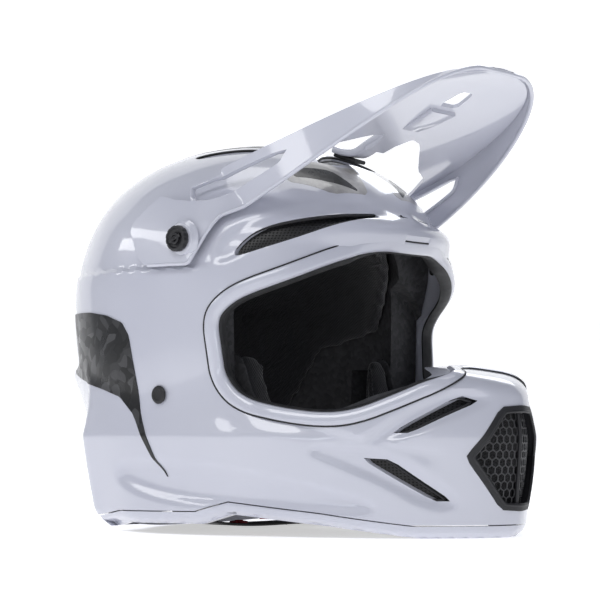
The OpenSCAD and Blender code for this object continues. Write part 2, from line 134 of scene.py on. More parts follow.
def settle(obj, body, stands_for=(), material=None, angle=35):
    shade(obj, angle)
    if material is not None:
        obj.data.materials.clear()
        obj.data.materials.append(material)
    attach(obj, body)
    if stands_for:
        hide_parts(*stands_for)
    print(f"{obj.name}: {len(obj.data.polygons)} faces on {body}")
    return obj


def applied(obj):
    """The object's modifiers turned into plain mesh."""
    graph = bpy.context.evaluated_depsgraph_get()
    mesh = bpy.data.meshes.new_from_object(obj.evaluated_get(graph))
    obj.modifiers.clear()
    obj.data = mesh
    return obj


def carve(obj, cutters, operation="DIFFERENCE"):
    """Cuts obj with each cutter in turn, and removes the cutters."""
    for cutter in cutters:
        mod = obj.modifiers.new("cut", "BOOLEAN")
        mod.operation = operation
        mod.solver = "MANIFOLD"
        mod.object = cutter
    applied(obj)
    for cutter in cutters:
        bpy.data.objects.remove(cutter)
    return obj


# %% [markdown]
# ## Finishes
# Shader maths reads best as plain expressions. This small class wraps a socket, so that
# `1 - mask * 0.5` adds the Math nodes it needs. Any other node comes from one method, `node`.

# %% A socket that does arithmetic
class Wire:
    def __init__(self, tree, socket):
        self.tree, self.socket = tree, socket

    def maths(self, operation, *values):
        node = self.tree.nodes.new("ShaderNodeMath")
        node.operation = operation
        for place, value in zip(node.inputs, (self, *values)):
            connect(self.tree, value, place)
        return Wire(self.tree, node.outputs[0])

    def __add__(self, other):
        return self.maths("ADD", other)

    def __mul__(self, other):
        return self.maths("MULTIPLY", other)

    def sine(self):
        return self.maths("SINE")

    def __sub__(self, other):
        return self.maths("SUBTRACT", other)

    def __rsub__(self, other):
        return (self * -1) + other

    def __truediv__(self, other):
        return self.maths("DIVIDE", other)

    __radd__, __rmul__ = __add__, __mul__

    def between(self, low, high, smooth=True):
        """0 below low, 1 above high."""
        node = self.tree.nodes.new("ShaderNodeMapRange")
        node.interpolation_type = "SMOOTHSTEP" if smooth else "LINEAR"
        connect(self.tree, self, node.inputs["Value"])
        node.inputs["From Min"].default_value = low
        node.inputs["From Max"].default_value = high
        return Wire(self.tree, node.outputs["Result"])


def connect(tree, value, place):
    if isinstance(value, Wire):
        tree.links.new(value.socket, place)
    elif hasattr(place, "default_value"):
        if isinstance(value, (tuple, list)) and len(value) == 3 and len(place.default_value) == 4:
            value = (*value, 1)
        place.default_value = value


class Finish:
    """A material with one Principled shader, and helpers for the patterns that feed it."""

    def __init__(self, name, color, roughness, **constants):
        self.material = bpy.data.materials.new(name)
        self.material.use_nodes = True
        self.tree = self.material.node_tree
        self.shader = self.tree.nodes["Principled BSDF"]
        self.shader.inputs["Base Color"].default_value = (*color, 1)
        self.shader.inputs["Roughness"].default_value = roughness
        for key, value in constants.items():
            connect(self.tree, value, self.shader.inputs[key.replace("_", " ")])

    def node(self, kind, settings=(), out=0, **inputs):
        node = self.tree.nodes.new("ShaderNode" + kind)
        for key, value in dict(settings).items():
            setattr(node, key, value)
        for key, value in inputs.items():
            name = key.replace("_", " ")
            connect(self.tree, value, node.inputs[int(key[1:])] if key[1:].isdigit() else node.inputs[name])
        return Wire(self.tree, node.outputs[out])

    def place(self):
        return self.node("TexCoord", out="Object")

    def axis(self, index):
        return self.node("SeparateXYZ", Vector=self.place(), out=index)

    def noise(self, scale, detail=2.0, rough=0.5, vector=None):
        where = vector or self.place()
        return self.node("TexNoise", Vector=where, Scale=scale, Detail=detail, Roughness=rough)

    def ramp(self, mask, low, high):
        """A colour that goes from low to high as mask goes from 0 to 1."""
        mix = self.tree.nodes.new("ShaderNodeMix")
        mix.data_type = "RGBA"
        connect(self.tree, mask, mix.inputs["Factor"])
        connect(self.tree, low, mix.inputs["A"])
        connect(self.tree, high, mix.inputs["B"])
        return Wire(self.tree, mix.outputs["Result"])

    def color(self, wire):
        connect(self.tree, wire, self.shader.inputs["Base Color"])

    def roughness(self, wire):
        connect(self.tree, wire, self.shader.inputs["Roughness"])

    def bump(self, height, strength, distance):
        bump = self.node("Bump", Height=height, Strength=strength, Distance=distance)
        connect(self.tree, bump, self.shader.inputs["Normal"])

    def set(self, key, wire):
        connect(self.tree, wire, self.shader.inputs[key])


# %% [markdown]
# The paint is a cool white under a clear coat. Real paint is never quite even: the tint drifts
# slowly over the shell, and the coat has a faint ripple that breaks up its highlights.

# %% Painted white shell
def painted_white():
    f = Finish("painted white", (0.55, 0.56, 0.64), 0.35, Coat_Weight=1.0, Coat_Roughness=0.05, IOR=1.5)
    drift = f.noise(9, 2).between(0.3, 0.7)
    f.color(f.ramp(drift, (0.53, 0.54, 0.62), (0.575, 0.585, 0.66)))
    f.roughness(f.noise(60, 3) * 0.08 + 0.27)
    f.bump(f.noise(260, 2), 0.05, 0.0004)
    return f.material


def black_moulding():
    f = Finish("black moulded plastic", (0.012, 0.012, 0.014), 0.45)
    f.roughness(f.noise(300, 3) * 0.2 + 0.38)
    f.color(f.ramp(f.noise(40, 3), (0.009, 0.009, 0.011), (0.018, 0.018, 0.021)))
    f.bump(f.noise(1400, 2), 0.15, 0.0002)
    return f.material


def grille_moulding():
    f = Finish("dark grey grille", (0.05, 0.05, 0.054), 0.35)
    f.color(f.ramp(f.noise(90, 2), (0.045, 0.045, 0.048), (0.075, 0.075, 0.08)))
    f.roughness(f.noise(200, 2) * 0.15 + 0.28)
    return f.material


def black_rubber():
    f = Finish("black rubber", (0.014, 0.014, 0.016), 0.65)
    f.color(f.ramp(f.noise(120, 4).between(0.35, 0.7), (0.010, 0.010, 0.012), (0.022, 0.022, 0.024)))
    f.roughness(f.noise(220, 3) * 0.25 + 0.5)
    f.bump(f.noise(2200, 2), 0.2, 0.00015)
    return f.material


# %% [markdown]
# The rear panels are forged carbon: chips of fibre pressed flat in resin, each with its own grey and
# its own sheen. Voronoi cells, pulled out of shape by noise, give the chips.

# %% Carbon, metal and hard foam
def forged_carbon():
    f = Finish("forged carbon", (0.03, 0.03, 0.032), 0.3, Coat_Weight=0.3, Coat_Roughness=0.12)
    bend = f.node("TexNoise", {"noise_dimensions": "3D"}, out=1, Vector=f.place(), Scale=40.0, Detail=2.0)
    warp = f.node("VectorMath", {"operation": "SCALE"}, Vector=bend, Scale=0.02)
    moved = f.node("VectorMath", {"operation": "ADD"}, i0=f.place(), i1=warp)
    chips = f.node("TexVoronoi", out=1, Vector=moved, Scale=150.0)
    tone = f.node("SeparateColor", Color=chips)
    sheen = f.node("SeparateColor", out=1, Color=chips)
    f.color(f.ramp(tone.maths("POWER", 3.0), (0.003, 0.003, 0.0035), (0.055, 0.055, 0.058)))
    f.roughness(sheen * 0.25 + 0.25)
    f.set("Metallic", sheen * 0.3)
    return f.material


def steel(name, color, roughness):
    f = Finish(name, color, roughness, Metallic=1.0)
    stretched = f.node("VectorMath", {"operation": "MULTIPLY"}, i0=f.place(), i1=(60, 900, 900))
    lines = f.noise(1.0, 2, vector=stretched)
    f.roughness(lines * 0.18 + (roughness - 0.09))
    f.bump(lines, 0.06, 0.0002)
    return f.material


def bead_foam():
    f = Finish("expanded bead foam", (0.05, 0.05, 0.053), 0.8)
    beads = f.node("TexVoronoi", Vector=f.place(), Scale=330.0)
    tone = f.node("TexVoronoi", out=1, Vector=f.place(), Scale=330.0)
    shade_of = f.node("SeparateColor", Color=tone)
    f.color(f.ramp(shade_of, (0.035, 0.035, 0.038), (0.065, 0.065, 0.07)))
    f.bump(1 - beads, 0.5, 0.0008)
    return f.material


def slip_sheet():
    f = Finish("slip liner plastic", (0.03, 0.03, 0.032), 0.35)
    f.color(f.ramp(f.noise(30, 2), (0.022, 0.022, 0.024), (0.04, 0.04, 0.043)))
    f.roughness(f.noise(160, 2) * 0.15 + 0.28)
    return f.material


# %% [markdown]
# Cloth is thread over thread. Two sine waves set across each other give a knit's small bumps, and
# slow noise keeps the colour from looking flat. The same waves darken the knit's hollows, which is painted
# shade.

# %% Knit, webbing and open-cell foam
def knit(name, dark, light, pitch, depth=0.0004):
    f = Finish(name, dark, 0.92, Sheen_Weight=0.25, Sheen_Roughness=0.5)
    turn = 2 * math.pi / pitch
    x, y, z = f.axis(0), f.axis(1), f.axis(2)
    loops = ((x + y) * turn).sine() * ((z + x * 0.5) * turn).sine()
    # The colour is partly slow random tone and partly painted shade: where the loops' bump sinks, the knit is
    # darker.
    f.color(f.ramp(f.noise(28, 4) * 0.6 + (loops * 0.2 + 0.2), dark, light))
    f.bump(loops, 0.5, depth)
    f.roughness(f.noise(90, 2) * 0.12 + 0.84)
    return f.material


def webbing(name, dark, light):
    f = Finish(name, dark, 0.8, Sheen_Weight=0.15)
    rib = ((f.axis(0) * (2 * math.pi / 0.0022)).sine() * 0.5 + 0.5).maths("POWER", 0.6)
    pick = (((f.axis(1) + f.axis(2)) * (2 * math.pi / 0.0016)).sine() * 0.5 + 0.5)
    height = rib * 0.6 + pick * rib * 0.4
    # The colour follows the weave's height, so the grooves between threads are painted shade and the ribs are
    # lighter.
    f.color(f.ramp(height, dark, light))
    f.bump(height, 0.6, 0.0004)
    return f.material


def open_foam():
    f = Finish("open-cell filter foam", (0.012, 0.012, 0.013), 0.95)
    cells = f.node("TexVoronoi", Vector=f.place(), Scale=900.0)
    # Each cell's middle is darker: painted shade in the foam's pores, which the bump also sinks.
    f.color(f.ramp(cells.between(0.1, 0.6), (0.004, 0.004, 0.004), (0.03, 0.03, 0.032)))
    f.bump(cells, 0.9, 0.0007)
    return f.material


def perforated():
    """Black moulding with rows of small holes, for the inserts in the vents."""
    f = Finish("perforated black moulding", (0.006, 0.006, 0.007), 0.6)
    turn = 2 * math.pi / 0.0034
    along = ((f.axis(0) + f.axis(2)) * turn).sine()
    across = ((f.axis(2) - f.axis(0)) * turn).sine()
    hole = (along * across).between(0.25, 0.55)
    # The holes are painted near-black, which is painted shade inside each hole; the bump sinks them as well.
    f.color(f.ramp(hole, (0.007, 0.007, 0.008), (0.0005, 0.0005, 0.0005)))
    f.roughness(hole * 0.4 + 0.42)
    f.bump(1 - hole, 0.8, 0.0008)
    return f.material


def crown_print(name, first, second):
    """A printed graphic under the clear coat."""
    f = Finish(name, first, 0.3, Coat_Weight=1.0, Coat_Roughness=0.05)
    f.color(f.ramp(f.noise(70, 6, 0.65).between(0.35, 0.65), first, second))
    return f.material


white_paint = painted_white()
black_plastic = black_moulding()
rubber = black_rubber()
carbon = forged_carbon()
steel_finish = steel("brushed steel", (0.62, 0.62, 0.64), 0.32)
foam_finish = bead_foam()
slip_finish = slip_sheet()
lining_knit = knit("brushed knit lining", (0.008, 0.008, 0.010), (0.030, 0.030, 0.034), 0.0021)
black_webbing = webbing("black webbing", (0.006, 0.006, 0.007), (0.035, 0.035, 0.038))
red_webbing = webbing("red webbing", (0.22, 0.004, 0.010), (0.42, 0.012, 0.022))
filter_foam = open_foam()
vent_black = perforated()
grille_grey = grille_moulding()
thread = knit("sewing thread", (0.05, 0.05, 0.055), (0.09, 0.09, 0.1), 0.0006, 0.0001)
grey_print = crown_print("grey crown print", (0.30, 0.29, 0.29), (0.46, 0.45, 0.43))
print("finishes:", len(bpy.data.materials))

# %% [markdown]
# ## The shell's shape
# The shell is one smooth field: a number at every place that is zero on the outer face and negative
# inside. The cranium, the rear skirt, the brow and the chin bar are simple fields of their own, and a
# soft minimum melts them together, as filler does on a clay buck. The CAD part uses the same rule on
# a coarse grid; here the same rule gives a fine one.

# %% The field
SHELL_HALF, SHELL_TOP, BELT_Z = 121.0, 250.0, 146.0
BROW_REACH, REAR_REACH, SKIRT_REACH, SHELF_Z = 122.0, 121.0, 147.0, 103.0
CHIN_LEN, CHIN_HALF, RIDGE_Z, CHIN_TOP = 176.0, 119.0, 60.0, 102.0
WALL = 3.5


def soft_min(a, b, k):
    h = np.maximum(k - np.abs(a - b), 0) / k
    return np.minimum(a, b) - h * h * k / 4


def soft_max(a, b, k):
    return -soft_min(-a, -b, k)


def cranium(x, w, z):
    rise = np.maximum(z - BELT_Z, 0) / (SHELL_TOP - BELT_Z)
    drop = np.clip((BELT_Z - z) / BELT_Z, 0, 1.2)
    front = BROW_REACH * (1 - 0.06 * drop)
    back = REAR_REACH * (1 - 0.42 * drop**1.7)
    along = np.where(x > -8, (x + 8) / front, -(x + 8) / back)
    across = w / (SHELL_HALF * (1 - 0.07 * drop**1.6))
    return ((np.abs(along) ** 2.2 + across**2.2 + rise**2.2) ** (1 / 2.2) - 1) * 118


def skirt(x, w, z):
    drop = np.clip((SHELF_Z - z) / 95, 0, 1.2)
    reach = np.where(x > 0, 90.0, SKIRT_REACH - 52 * drop)
    half = CHIN_HALF - 6 - 7 * drop
    return soft_max((((np.abs(x) / reach) ** 2.1 + (w / half) ** 2.1) ** (1 / 2.1) - 1) * 110, z - SHELF_Z, 5)


def brow(x, w, z):
    return (np.sqrt(((x - 8) / 112) ** 2 + (w / 104) ** 2 + ((z - 184) / 26) ** 2) - 1) * 60


def chin(x, w, z):
    over = np.maximum(z - RIDGE_Z, 0) / 50
    under = np.maximum(RIDGE_Z - z, 0) / 55
    draw = np.minimum(0.17 * over**1.2 + 0.11 * under**1.2, 0.7)
    along = np.maximum(x - 20, 0) / (CHIN_LEN * (1 - 0.25 * draw))
    bow = ((along**1.6 + (w / (CHIN_HALF * (1 - draw))) ** 1.6) ** (1 / 1.6) - 1) * 95
    lid = (z - CHIN_TOP + 0.22 * (x - 150)) * 0.976
    return soft_max(soft_max(bow, lid, 10), -x - 60, 6)


def field(p):
    x, w, z = p[..., 0], np.abs(p[..., 1]), p[..., 2]
    shape = soft_min(cranium(x, w, z), skirt(x, w, z), 5)
    return soft_min(soft_min(shape, brow(x, w, z), 6), chin(x, w, z), 9)


def head_field(p):
    return cranium(p[..., 0], np.abs(p[..., 1]), p[..., 2])


def unit(v):
    """Vectors along the last axis, scaled to length one."""
    return v / np.maximum(np.linalg.norm(v, axis=-1, keepdims=True), 1e-9)


def slope(rule, p, gap=0.4):
    """The field's outward direction, by small differences."""
    return unit(np.stack([rule(p + d) - rule(p - d) for d in np.eye(3) * gap], -1))


def reach(rule, origin, rays, depth=0.0, low=0.0, high=340.0, steps=24):
    """Where rays from the origin meet the level -depth of a field."""
    low, high = np.full(rays.shape[:-1], low), np.full(rays.shape[:-1], high)
    for _ in range(steps):
        mid = (low + high) / 2
        inside = rule(origin + rays * mid[..., None]) < -depth
        low, high = np.where(inside, mid, low), np.where(inside, high, mid)
    return origin + rays * ((low + high) / 2)[..., None]


def front_point(y, z, depth=0.0):
    """The point of the shell straight ahead of (y, z)."""
    y, z = np.broadcast_arrays(np.asarray(y, float), np.asarray(z, float))
    start = np.stack([np.full(y.shape, -5.0), y, z], -1)
    return reach(field, start, np.broadcast_to([1.0, 0, 0], start.shape), depth, high=230)


def side_point(x, z, depth=0.0, side=-1):
    """The point of the shell straight out to the side of (x, z)."""
    x, z = np.broadcast_arrays(np.asarray(x, float), np.asarray(z, float))
    start = np.stack([x, np.zeros(x.shape), z], -1)
    return reach(field, start, np.broadcast_to([0.0, side, 0], start.shape), depth, high=180)


def top_point(x, y, depth=0.0):
    """The point of the shell straight above (x, y)."""
    x, y = np.broadcast_arrays(np.asarray(x, float), np.asarray(y, float))
    start = np.stack([x, y, np.full(x.shape, 120.0)], -1)
    return reach(field, start, np.broadcast_to([0.0, 0, 1], start.shape), depth, high=200)


crown_z, nose_x = float(top_point(-8, 0)[2]), float(front_point(0, 60)[0])
print("crown height", round(crown_z, 1), "mm, nose at", round(nose_x, 1))

# %% [markdown]
# Outlines of holes are short lists of corners. A closed curve through them, with each corner rounded
# by cutting it twice, gives the smooth outline that a router or a mould would leave.

# %% Outlines
EYEPORT = [(0, 174), (33, 175), (61, 167), (87, 155), (103, 146), (109, 137), (110.5, 128), (109, 112),
           (107, 92), (104, 81), (97, 75), (87, 72), (77, 74), (62, 83), (45, 93), (20, 101), (0, 103)]
UPPER_SLOT = [(146, 62), (155, 62), (181, 80.5), (173, 84)]
LOWER_SLOT = [(130, 47.5), (145, 46.5), (170, 22), (162, 22)]
BROW_SLOT = [(55, 169.5), (60, 179), (69, 186.5), (86, 193), (100, 197.5), (107, 199), (106, 193), (94, 184),
             (77, 175.5), (60, 168)]
CROWN_SLOT = [(50, 0), (54, 16), (60, 29), (66, 29), (67, 15), (64, 0)]
CROWN_SIDE_SLOT = [(-14, 58), (4, 50), (30, 40), (38, 42), (24, 56), (2, 66), (-12, 66)]
MOUTH = [(0, 78), (15, 77), (35, 49), (33, 44), (14, 17), (0, 16)]
BASE_LINE = [(-400, 0), (-70, 0), (-30, 6), (32, 7), (52, 13), (106, 7), (152, 0), (400, 0)]


def mirrored(half, axis=0):
    """A closed outline from its half on the positive side."""
    flip = np.array([-1, 1] if axis == 0 else [1, -1])
    half = [np.array(q, float) for q in half]
    return np.array(half + [q * flip for q in reversed(half) if q[axis] > 0])


def rounded(outline, passes=2, share=0.25):
    """Corner cutting, which tends to a smooth curve."""
    line = np.asarray(outline, float)
    for _ in range(passes):
        after = np.roll(line, -1, 0)
        pairs = np.stack([line + share * (after - line), after + share * (line - after)], 1)
        line = pairs.reshape(-1, line.shape[1])
    return line


def even(line, count):
    """The closed outline again, with points a fixed distance apart."""
    loop = np.vstack([line, line[:1]])
    along = np.concatenate([[0], np.cumsum(np.linalg.norm(np.diff(loop, axis=0), axis=1))])
    want = np.linspace(0, along[-1], count, endpoint=False)
    return np.stack([np.interp(want, along, loop[:, k]) for k in range(loop.shape[1])], 1)


def grown(line, by):
    """The outline moved outwards by a distance."""
    ahead, behind = np.roll(line, -1, 0), np.roll(line, 1, 0)
    tangent = unit(ahead - behind)
    area = np.sum(line[:, 0] * ahead[:, 1] - ahead[:, 0] * line[:, 1])
    return line + by * np.sign(area) * np.stack([tangent[:, 1], -tangent[:, 0]], 1)


def distance_to(q, outline):
    """Signed distance in the plane from points q to a closed outline, negative inside."""
    best, winding = np.full(q.shape[:-1], 1e9), np.zeros(q.shape[:-1], bool)
    for a, b in zip(outline, np.roll(outline, -1, 0)):
        ab, aq = b - a, q - a
        t = np.clip((aq @ ab) / max(ab @ ab, 1e-9), 0, 1)
        best = np.minimum(best, np.linalg.norm(aq - t[..., None] * ab, axis=-1))
        crosses = (a[1] > q[..., 1]) != (b[1] > q[..., 1])
        with np.errstate(divide="ignore", invalid="ignore"):
            at = a[0] + (q[..., 1] - a[1]) * (b[0] - a[0]) / (b[1] - a[1])
        winding ^= crosses & (q[..., 0] < at)
    return np.where(winding, -best, best)


eye_line = rounded(mirrored(EYEPORT))
mouth_line = rounded(mirrored(MOUTH), 1, 0.12)
upper_line, lower_line = rounded(UPPER_SLOT, 1, 0.12), rounded(LOWER_SLOT, 1, 0.12)
brow_line = rounded(BROW_SLOT)
crown_line = rounded(mirrored(CROWN_SLOT, 1), 1, 0.15)
crown_side_line = rounded(CROWN_SIDE_SLOT)
print("eyeport", len(eye_line), "points,", np.ptp(eye_line[:, 0]).round(), "mm wide")

# %% [markdown]
# A cutter is an outline swept straight through the wall. `axis` says which way it is swept.

# %% Cutters
def prism(outline, axis, low, high, name="cutter"):
    n = len(outline)
    ends = [np.insert(outline, axis, level, axis=1) for level in (low, high)]
    points = np.vstack(ends)
    sides = [(i, (i + 1) % n, n + (i + 1) % n, n + i) for i in range(n)]
    caps = [tuple(range(n))[::-1], tuple(range(n, 2 * n))]
    return outward(link_mesh(name, points, sides + caps), triangulated=True)


def both_sides(outline, low, high):
    """Side-view outline cut on the right and the left."""
    return [prism(outline, 1, -high, -low), prism(outline, 1, low, high)]


# %% [markdown]
# The scoops, creases and steps are small compared with the shell, so they are pressed into it:
# `relief` says how far each point sinks below the plain field.

# %% Scoops and creases
def step(value, width):
    """0 to 1 over a width, centred on zero."""
    t = np.clip(value / width + 0.5, 0, 1)
    return t * t * (3 - 2 * t)


base_x, base_z = np.array(BASE_LINE, float).T
BROW_SCOOP = rounded([(46, 166), (50, 182), (64, 194), (88, 200), (114, 203), (113, 199), (100, 192.5),
                      (84, 185), (68, 176), (54, 165)])
UPPER_SCOOP = rounded([(134, 57), (150, 57), (186, 79), (184, 86), (170, 87), (146, 68)])
LOWER_SCOOP = rounded([(104, 52), (124, 53), (148, 49), (176, 22), (164, 17), (140, 34), (116, 46)])
JAW_SCOOP = rounded([(-24, 44), (24, 43), (84, 35), (138, 20), (128, 14), (60, 17), (6, 22), (-30, 32)])


def relief(p):
    x, w, z = p[..., 0], np.abs(p[..., 1]), p[..., 2]
    side = np.stack([x, z], -1)
    sunk = 1.6 * (1 - step(distance_to(side, BROW_SCOOP), 6)) * step(w - 20, 20)
    sunk += 2.6 * (1 - step(distance_to(side, UPPER_SCOOP), 5)) * step(w - 12, 10)
    sunk += 3.4 * (1 - step(distance_to(side, LOWER_SCOOP), 7)) * step(w - 20, 10)
    sunk += 4.6 * (1 - step(distance_to(side, JAW_SCOOP) + 1, 11)) * step(w - 40, 20)
    # The step under the visor's side plates, which fades upwards and towards the brow
    plate = step(z - 163, 2.5) * (1 - step(z - 196, 50))
    plate = plate * step(x + 96, 50) * (1 - step(x - 40, 24)) * step(w - 60, 40)
    sunk += 2.2 * plate
    # A crease along the chin bar's upper face, from the eyeport's corner to the nose
    crest = 84 - 0.42 * (x - 60) + 0.0011 * (x - 60) ** 2
    crease = step(crest - z, 3) * (1 - step(crest - z - 8, 14))
    sunk += 1.4 * crease * step(x - 70, 30) * (1 - step(x - 168, 14))
    # The lower edge rolls under, most of all at the rear
    rear = step(-x - 50, 60)
    roll = np.clip(1 - (z - np.interp(x, base_x, base_z)) / (9 + 9 * rear), 0, 0.995)
    sunk += (4.5 + 5.5 * rear) * (1 - np.sqrt(1 - roll**2)) * 1.6
    return sunk


# %% [markdown]
# Rays from a point low in the helmet, fanned out evenly, meet each part of the shell once. Their ends
# are the outer face; a coarser fan, less the wall's thickness, is the inner one. The two together are
# one closed solid, and the openings are then cut from it.

# %% Shell solid
RAY_CENTRE = np.array([30.0, 0.0, 85.0])


def fan(columns, rows, low=-50.0):
    """Directions in rings, from a low elevation up to the crown."""
    tilt = np.radians(low + (90 - low) * (np.arange(rows) + 0.5) / rows)
    turn = 2 * np.pi * np.arange(columns) / columns
    tilt, turn = np.meshgrid(tilt, turn, indexing="ij")
    return np.stack([np.cos(turn) * np.cos(tilt), np.sin(turn) * np.cos(tilt), np.sin(tilt)], -1)


def skin(columns, rows, start=0):
    """Faces of a closed skin: rings of points, then a bottom and a top point."""

    def at(r, c):
        return start + r * columns + c % columns

    faces = [(at(r, c), at(r, c + 1), at(r + 1, c + 1), at(r + 1, c))
             for r in range(rows - 1) for c in range(columns)]
    low, high = start + rows * columns, start + rows * columns + 1
    faces += [(at(0, c + 1), at(0, c), low) for c in range(columns)]
    faces += [(at(rows - 1, c), at(rows - 1, c + 1), high) for c in range(columns)]
    return faces


def skin_points(rule, centre, columns, rows, depth=0.0, pressed=None):
    rings = reach(rule, centre, fan(columns, rows), depth)
    poles = reach(rule, centre, np.array([[0.0, 0, -1], [0, 0, 1]]), depth)
    points = np.vstack([rings.reshape(-1, 3), poles])
    if pressed is not None:
        points = points - slope(rule, points) * pressed(points)[:, None]
    return points


def solid_between(name, rule, centre, outer, inner, columns, rows, inner_columns, inner_rows, pressed=None,
                  inner_rule=None, inner_pressed=None):
    """Closed solid between two levels of a field, or of two fields."""
    shell = skin_points(rule, centre, columns, rows, outer, pressed)
    hollow = skin_points(inner_rule or rule, centre, inner_columns, inner_rows, inner, inner_pressed)
    faces = skin(columns, rows)
    faces += [f[::-1] for f in skin(inner_columns, inner_rows, len(shell))]
    return link_mesh(name, np.vstack([shell, hollow]), faces)


COLUMNS, ROWS = ((440, 190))
base_line = np.array(BASE_LINE, float)
TRIM_H = 8.0


def base_cutter(rise, above=False):
    """Everything below (or above) the helmet's lower edge, moved up by rise."""
    edge = base_line + [0, rise]
    level = 500 if above else -300
    outline = np.vstack([edge, [[400, level], [-400, level]]])
    return prism(outline, 1, -300, 300)


def mouth_cutter(by=0.0):
    return prism(grown(mouth_line, by) if by else mouth_line, 0, 160, 300)


def slot_cutters(by=0.0):
    """One cutter for each vent slot, the slots grown by a distance."""
    upper, lower, over_brow, front, beside = [
        grown(line, by) if by else line
        for line in (upper_line, lower_line, brow_line, crown_line, crown_side_line)]
    sides = [*both_sides(upper, 15, 95), *both_sides(lower, 25, 105), *both_sides(over_brow, 22, 120)]
    return sides + [prism(line, 2, 190, 280) for line in (front, beside, beside * [1, -1])]


def soft_relief(p):
    """The inner face follows the scoops, a little less deeply."""
    return relief(p) * 0.8


def trim_relief(p):
    """The trim's outer face stands a hair further in than the paint's."""
    return relief(p) + 0.25


def unpressed(p):
    """No relief at all."""
    return p[:, 0] * 0


shell = solid_between("outer_shell_paint", field, RAY_CENTRE, 0.0, WALL + 0.6, COLUMNS, ROWS, 150, 70, relief,
                      None, soft_relief)
carve(shell, [base_cutter(TRIM_H), prism(eye_line, 0, 36, 300), mouth_cutter(), *slot_cutters()])
settle(shell, "helmet", ["outer_shell"], white_paint, 32)

# %% [markdown]
# ## Trim round the lower edge
# The shell ends in a separate moulded bead. Its outer face stands a hair inside the shell's, and a
# narrow gap parts the two, so the joint between them reads as a fine line.

# %% Lower trim
trim = solid_between("base_trim_bead", field, RAY_CENTRE, 0.0, WALL, COLUMNS, ROWS, COLUMNS, ROWS,
                     trim_relief, None, relief)
gap_cut = base_cutter(TRIM_H - 0.7, above=True)
carve(trim, [base_cutter(0.0), gap_cut])
settle(trim, "helmet", ["base_trim"], white_paint, 32)

# %% [markdown]
# Lips and gaskets follow a line over the shell. `swept` carries a small cross-section along such a
# line: `line` is a closed run of points on the surface, `out` the surface's direction at each, and
# the section's own axes are across the surface and away from it.

# %% Sections swept over the shell
def swept(name, line, out, section, closed=True):
    n, m = len(line), len(section)
    ahead = np.roll(line, -1, 0) - np.roll(line, 1, 0)
    if not closed:
        ahead[0], ahead[-1] = line[1] - line[0], line[-1] - line[-2]
    ahead = unit(ahead)
    out = unit(out - ahead * np.sum(out * ahead, 1, keepdims=True))
    across = np.cross(ahead, out)
    section = np.asarray(section, float)
    points = line[:, None] + across[:, None] * section[None, :, :1] + out[:, None] * section[None, :, 1:]
    return outward(link_mesh(name, points.reshape(-1, 3), tube_faces(n, m, closed)))


def oval(width, height, count=10, lift=0.0, shift=0.0):
    turn = np.linspace(0, 2 * np.pi, count, endpoint=False)
    return np.stack([shift + width / 2 * np.cos(turn), lift + height / 2 * np.sin(turn)], 1)


def on_shell(outline, view, depth=0.0, side=-1):
    """An outline seen from the front, the side or above, laid on the shell, and the shell's slope there."""
    a, b = outline[:, 0], outline[:, 1]
    if view == "front":
        place = front_point(a, b, depth)
    elif view == "side":
        place = side_point(a, b, depth, side)
    else:
        place = top_point(a, b, depth)
    normal = slope(field, place)
    return place - normal * relief(place)[:, None], normal


def joined(name, pieces):
    """Several objects as one mesh."""
    bpy.context.view_layer.objects.active = pieces[0]
    for piece in bpy.data.objects:
        piece.select_set(piece in pieces)
    with bpy.context.temp_override(active_object=pieces[0], selected_editable_objects=pieces,
                                   selected_objects=pieces):
        bpy.ops.object.join()
    pieces[0].name = name
    return pieces[0]


# %% [markdown]
# Round the eyeport lie three things in turn: a white painted rim that rolls in over the shell's edge,
# a fine dark seam, and the soft rubber gasket that goggles seat against.

# %% Eyeport rim and gasket
rim_count = 320
rim_line, rim_out = on_shell(even(eye_line, rim_count), "front")
RIM_SECTION = [(-6.6, -1.6), (-6.9, 0.15), (-6.2, 0.75), (-3.5, 1.15), (-0.6, 1.1), (0.9, 0.6), (1.9, -0.6),
               (2.1, -3.4), (1.2, -4.2), (0.0, -2.2)]
rim = swept("eyeport_rim_white", rim_line, rim_out, RIM_SECTION)
settle(rim, "helmet", [], white_paint, 40)
seam = swept("eyeport_seam", rim_line, rim_out, oval(1.1, 1.2, 8, 0.1, -7.1))
settle(seam, "helmet", [], rubber, 60)
GASKET_SECTION = [(2.2, -1.2), (3.2, -1.6), (4.3, -3.4), (4.5, -6.5), (4.0, -9.0), (2.6, -9.2), (2.0, -6.0),
                  (2.15, -3.4)]
gasket = swept("eyeport_gasket", rim_line, rim_out, GASKET_SECTION)
settle(gasket, "helmet", ["eyeport_trim"], rubber, 40)

# %% [markdown]
# ## The visor
# The visor is drawn as stations along its length. Each station is half a section: the side wall from
# its lower edge to the shoulder, then the roof. A fine grid of stations makes a smooth blank, and the
# windows, the roof openings and the tip slot are cut from it.

# %% Visor blank
TIP_X, VISOR_WALL, PLATE_GAP = 183.0, 2.4, 5.5


def edge_z(x):
    front = 192 + 0.469 * (x - 45) + 0.00125 * (x - 45) ** 2
    return np.where(x < 47, 164 + 28 * np.clip((x - 34) / 13, 0, 1), front)


def shoulder_z(x):
    return np.maximum(213 + 0.26 * x + 0.0006 * x * x, edge_z(x) + 1)


def visor_w(x):
    t = np.clip((x - 45) / (TIP_X - 45), 0, 1)
    return 98.3 * np.maximum(1 - t**1.54, 0.0016) ** (1 / 3)


def wall_w(x, v):
    z = edge_z(x) + (shoulder_z(x) - edge_z(x)) * v
    own = visor_w(x) - 4 * v
    beside = side_point(np.minimum(x, 70), z, -PLATE_GAP, 1)[..., 1] + 5 * v * v
    return np.where(x > 70, own, np.maximum(beside, own))


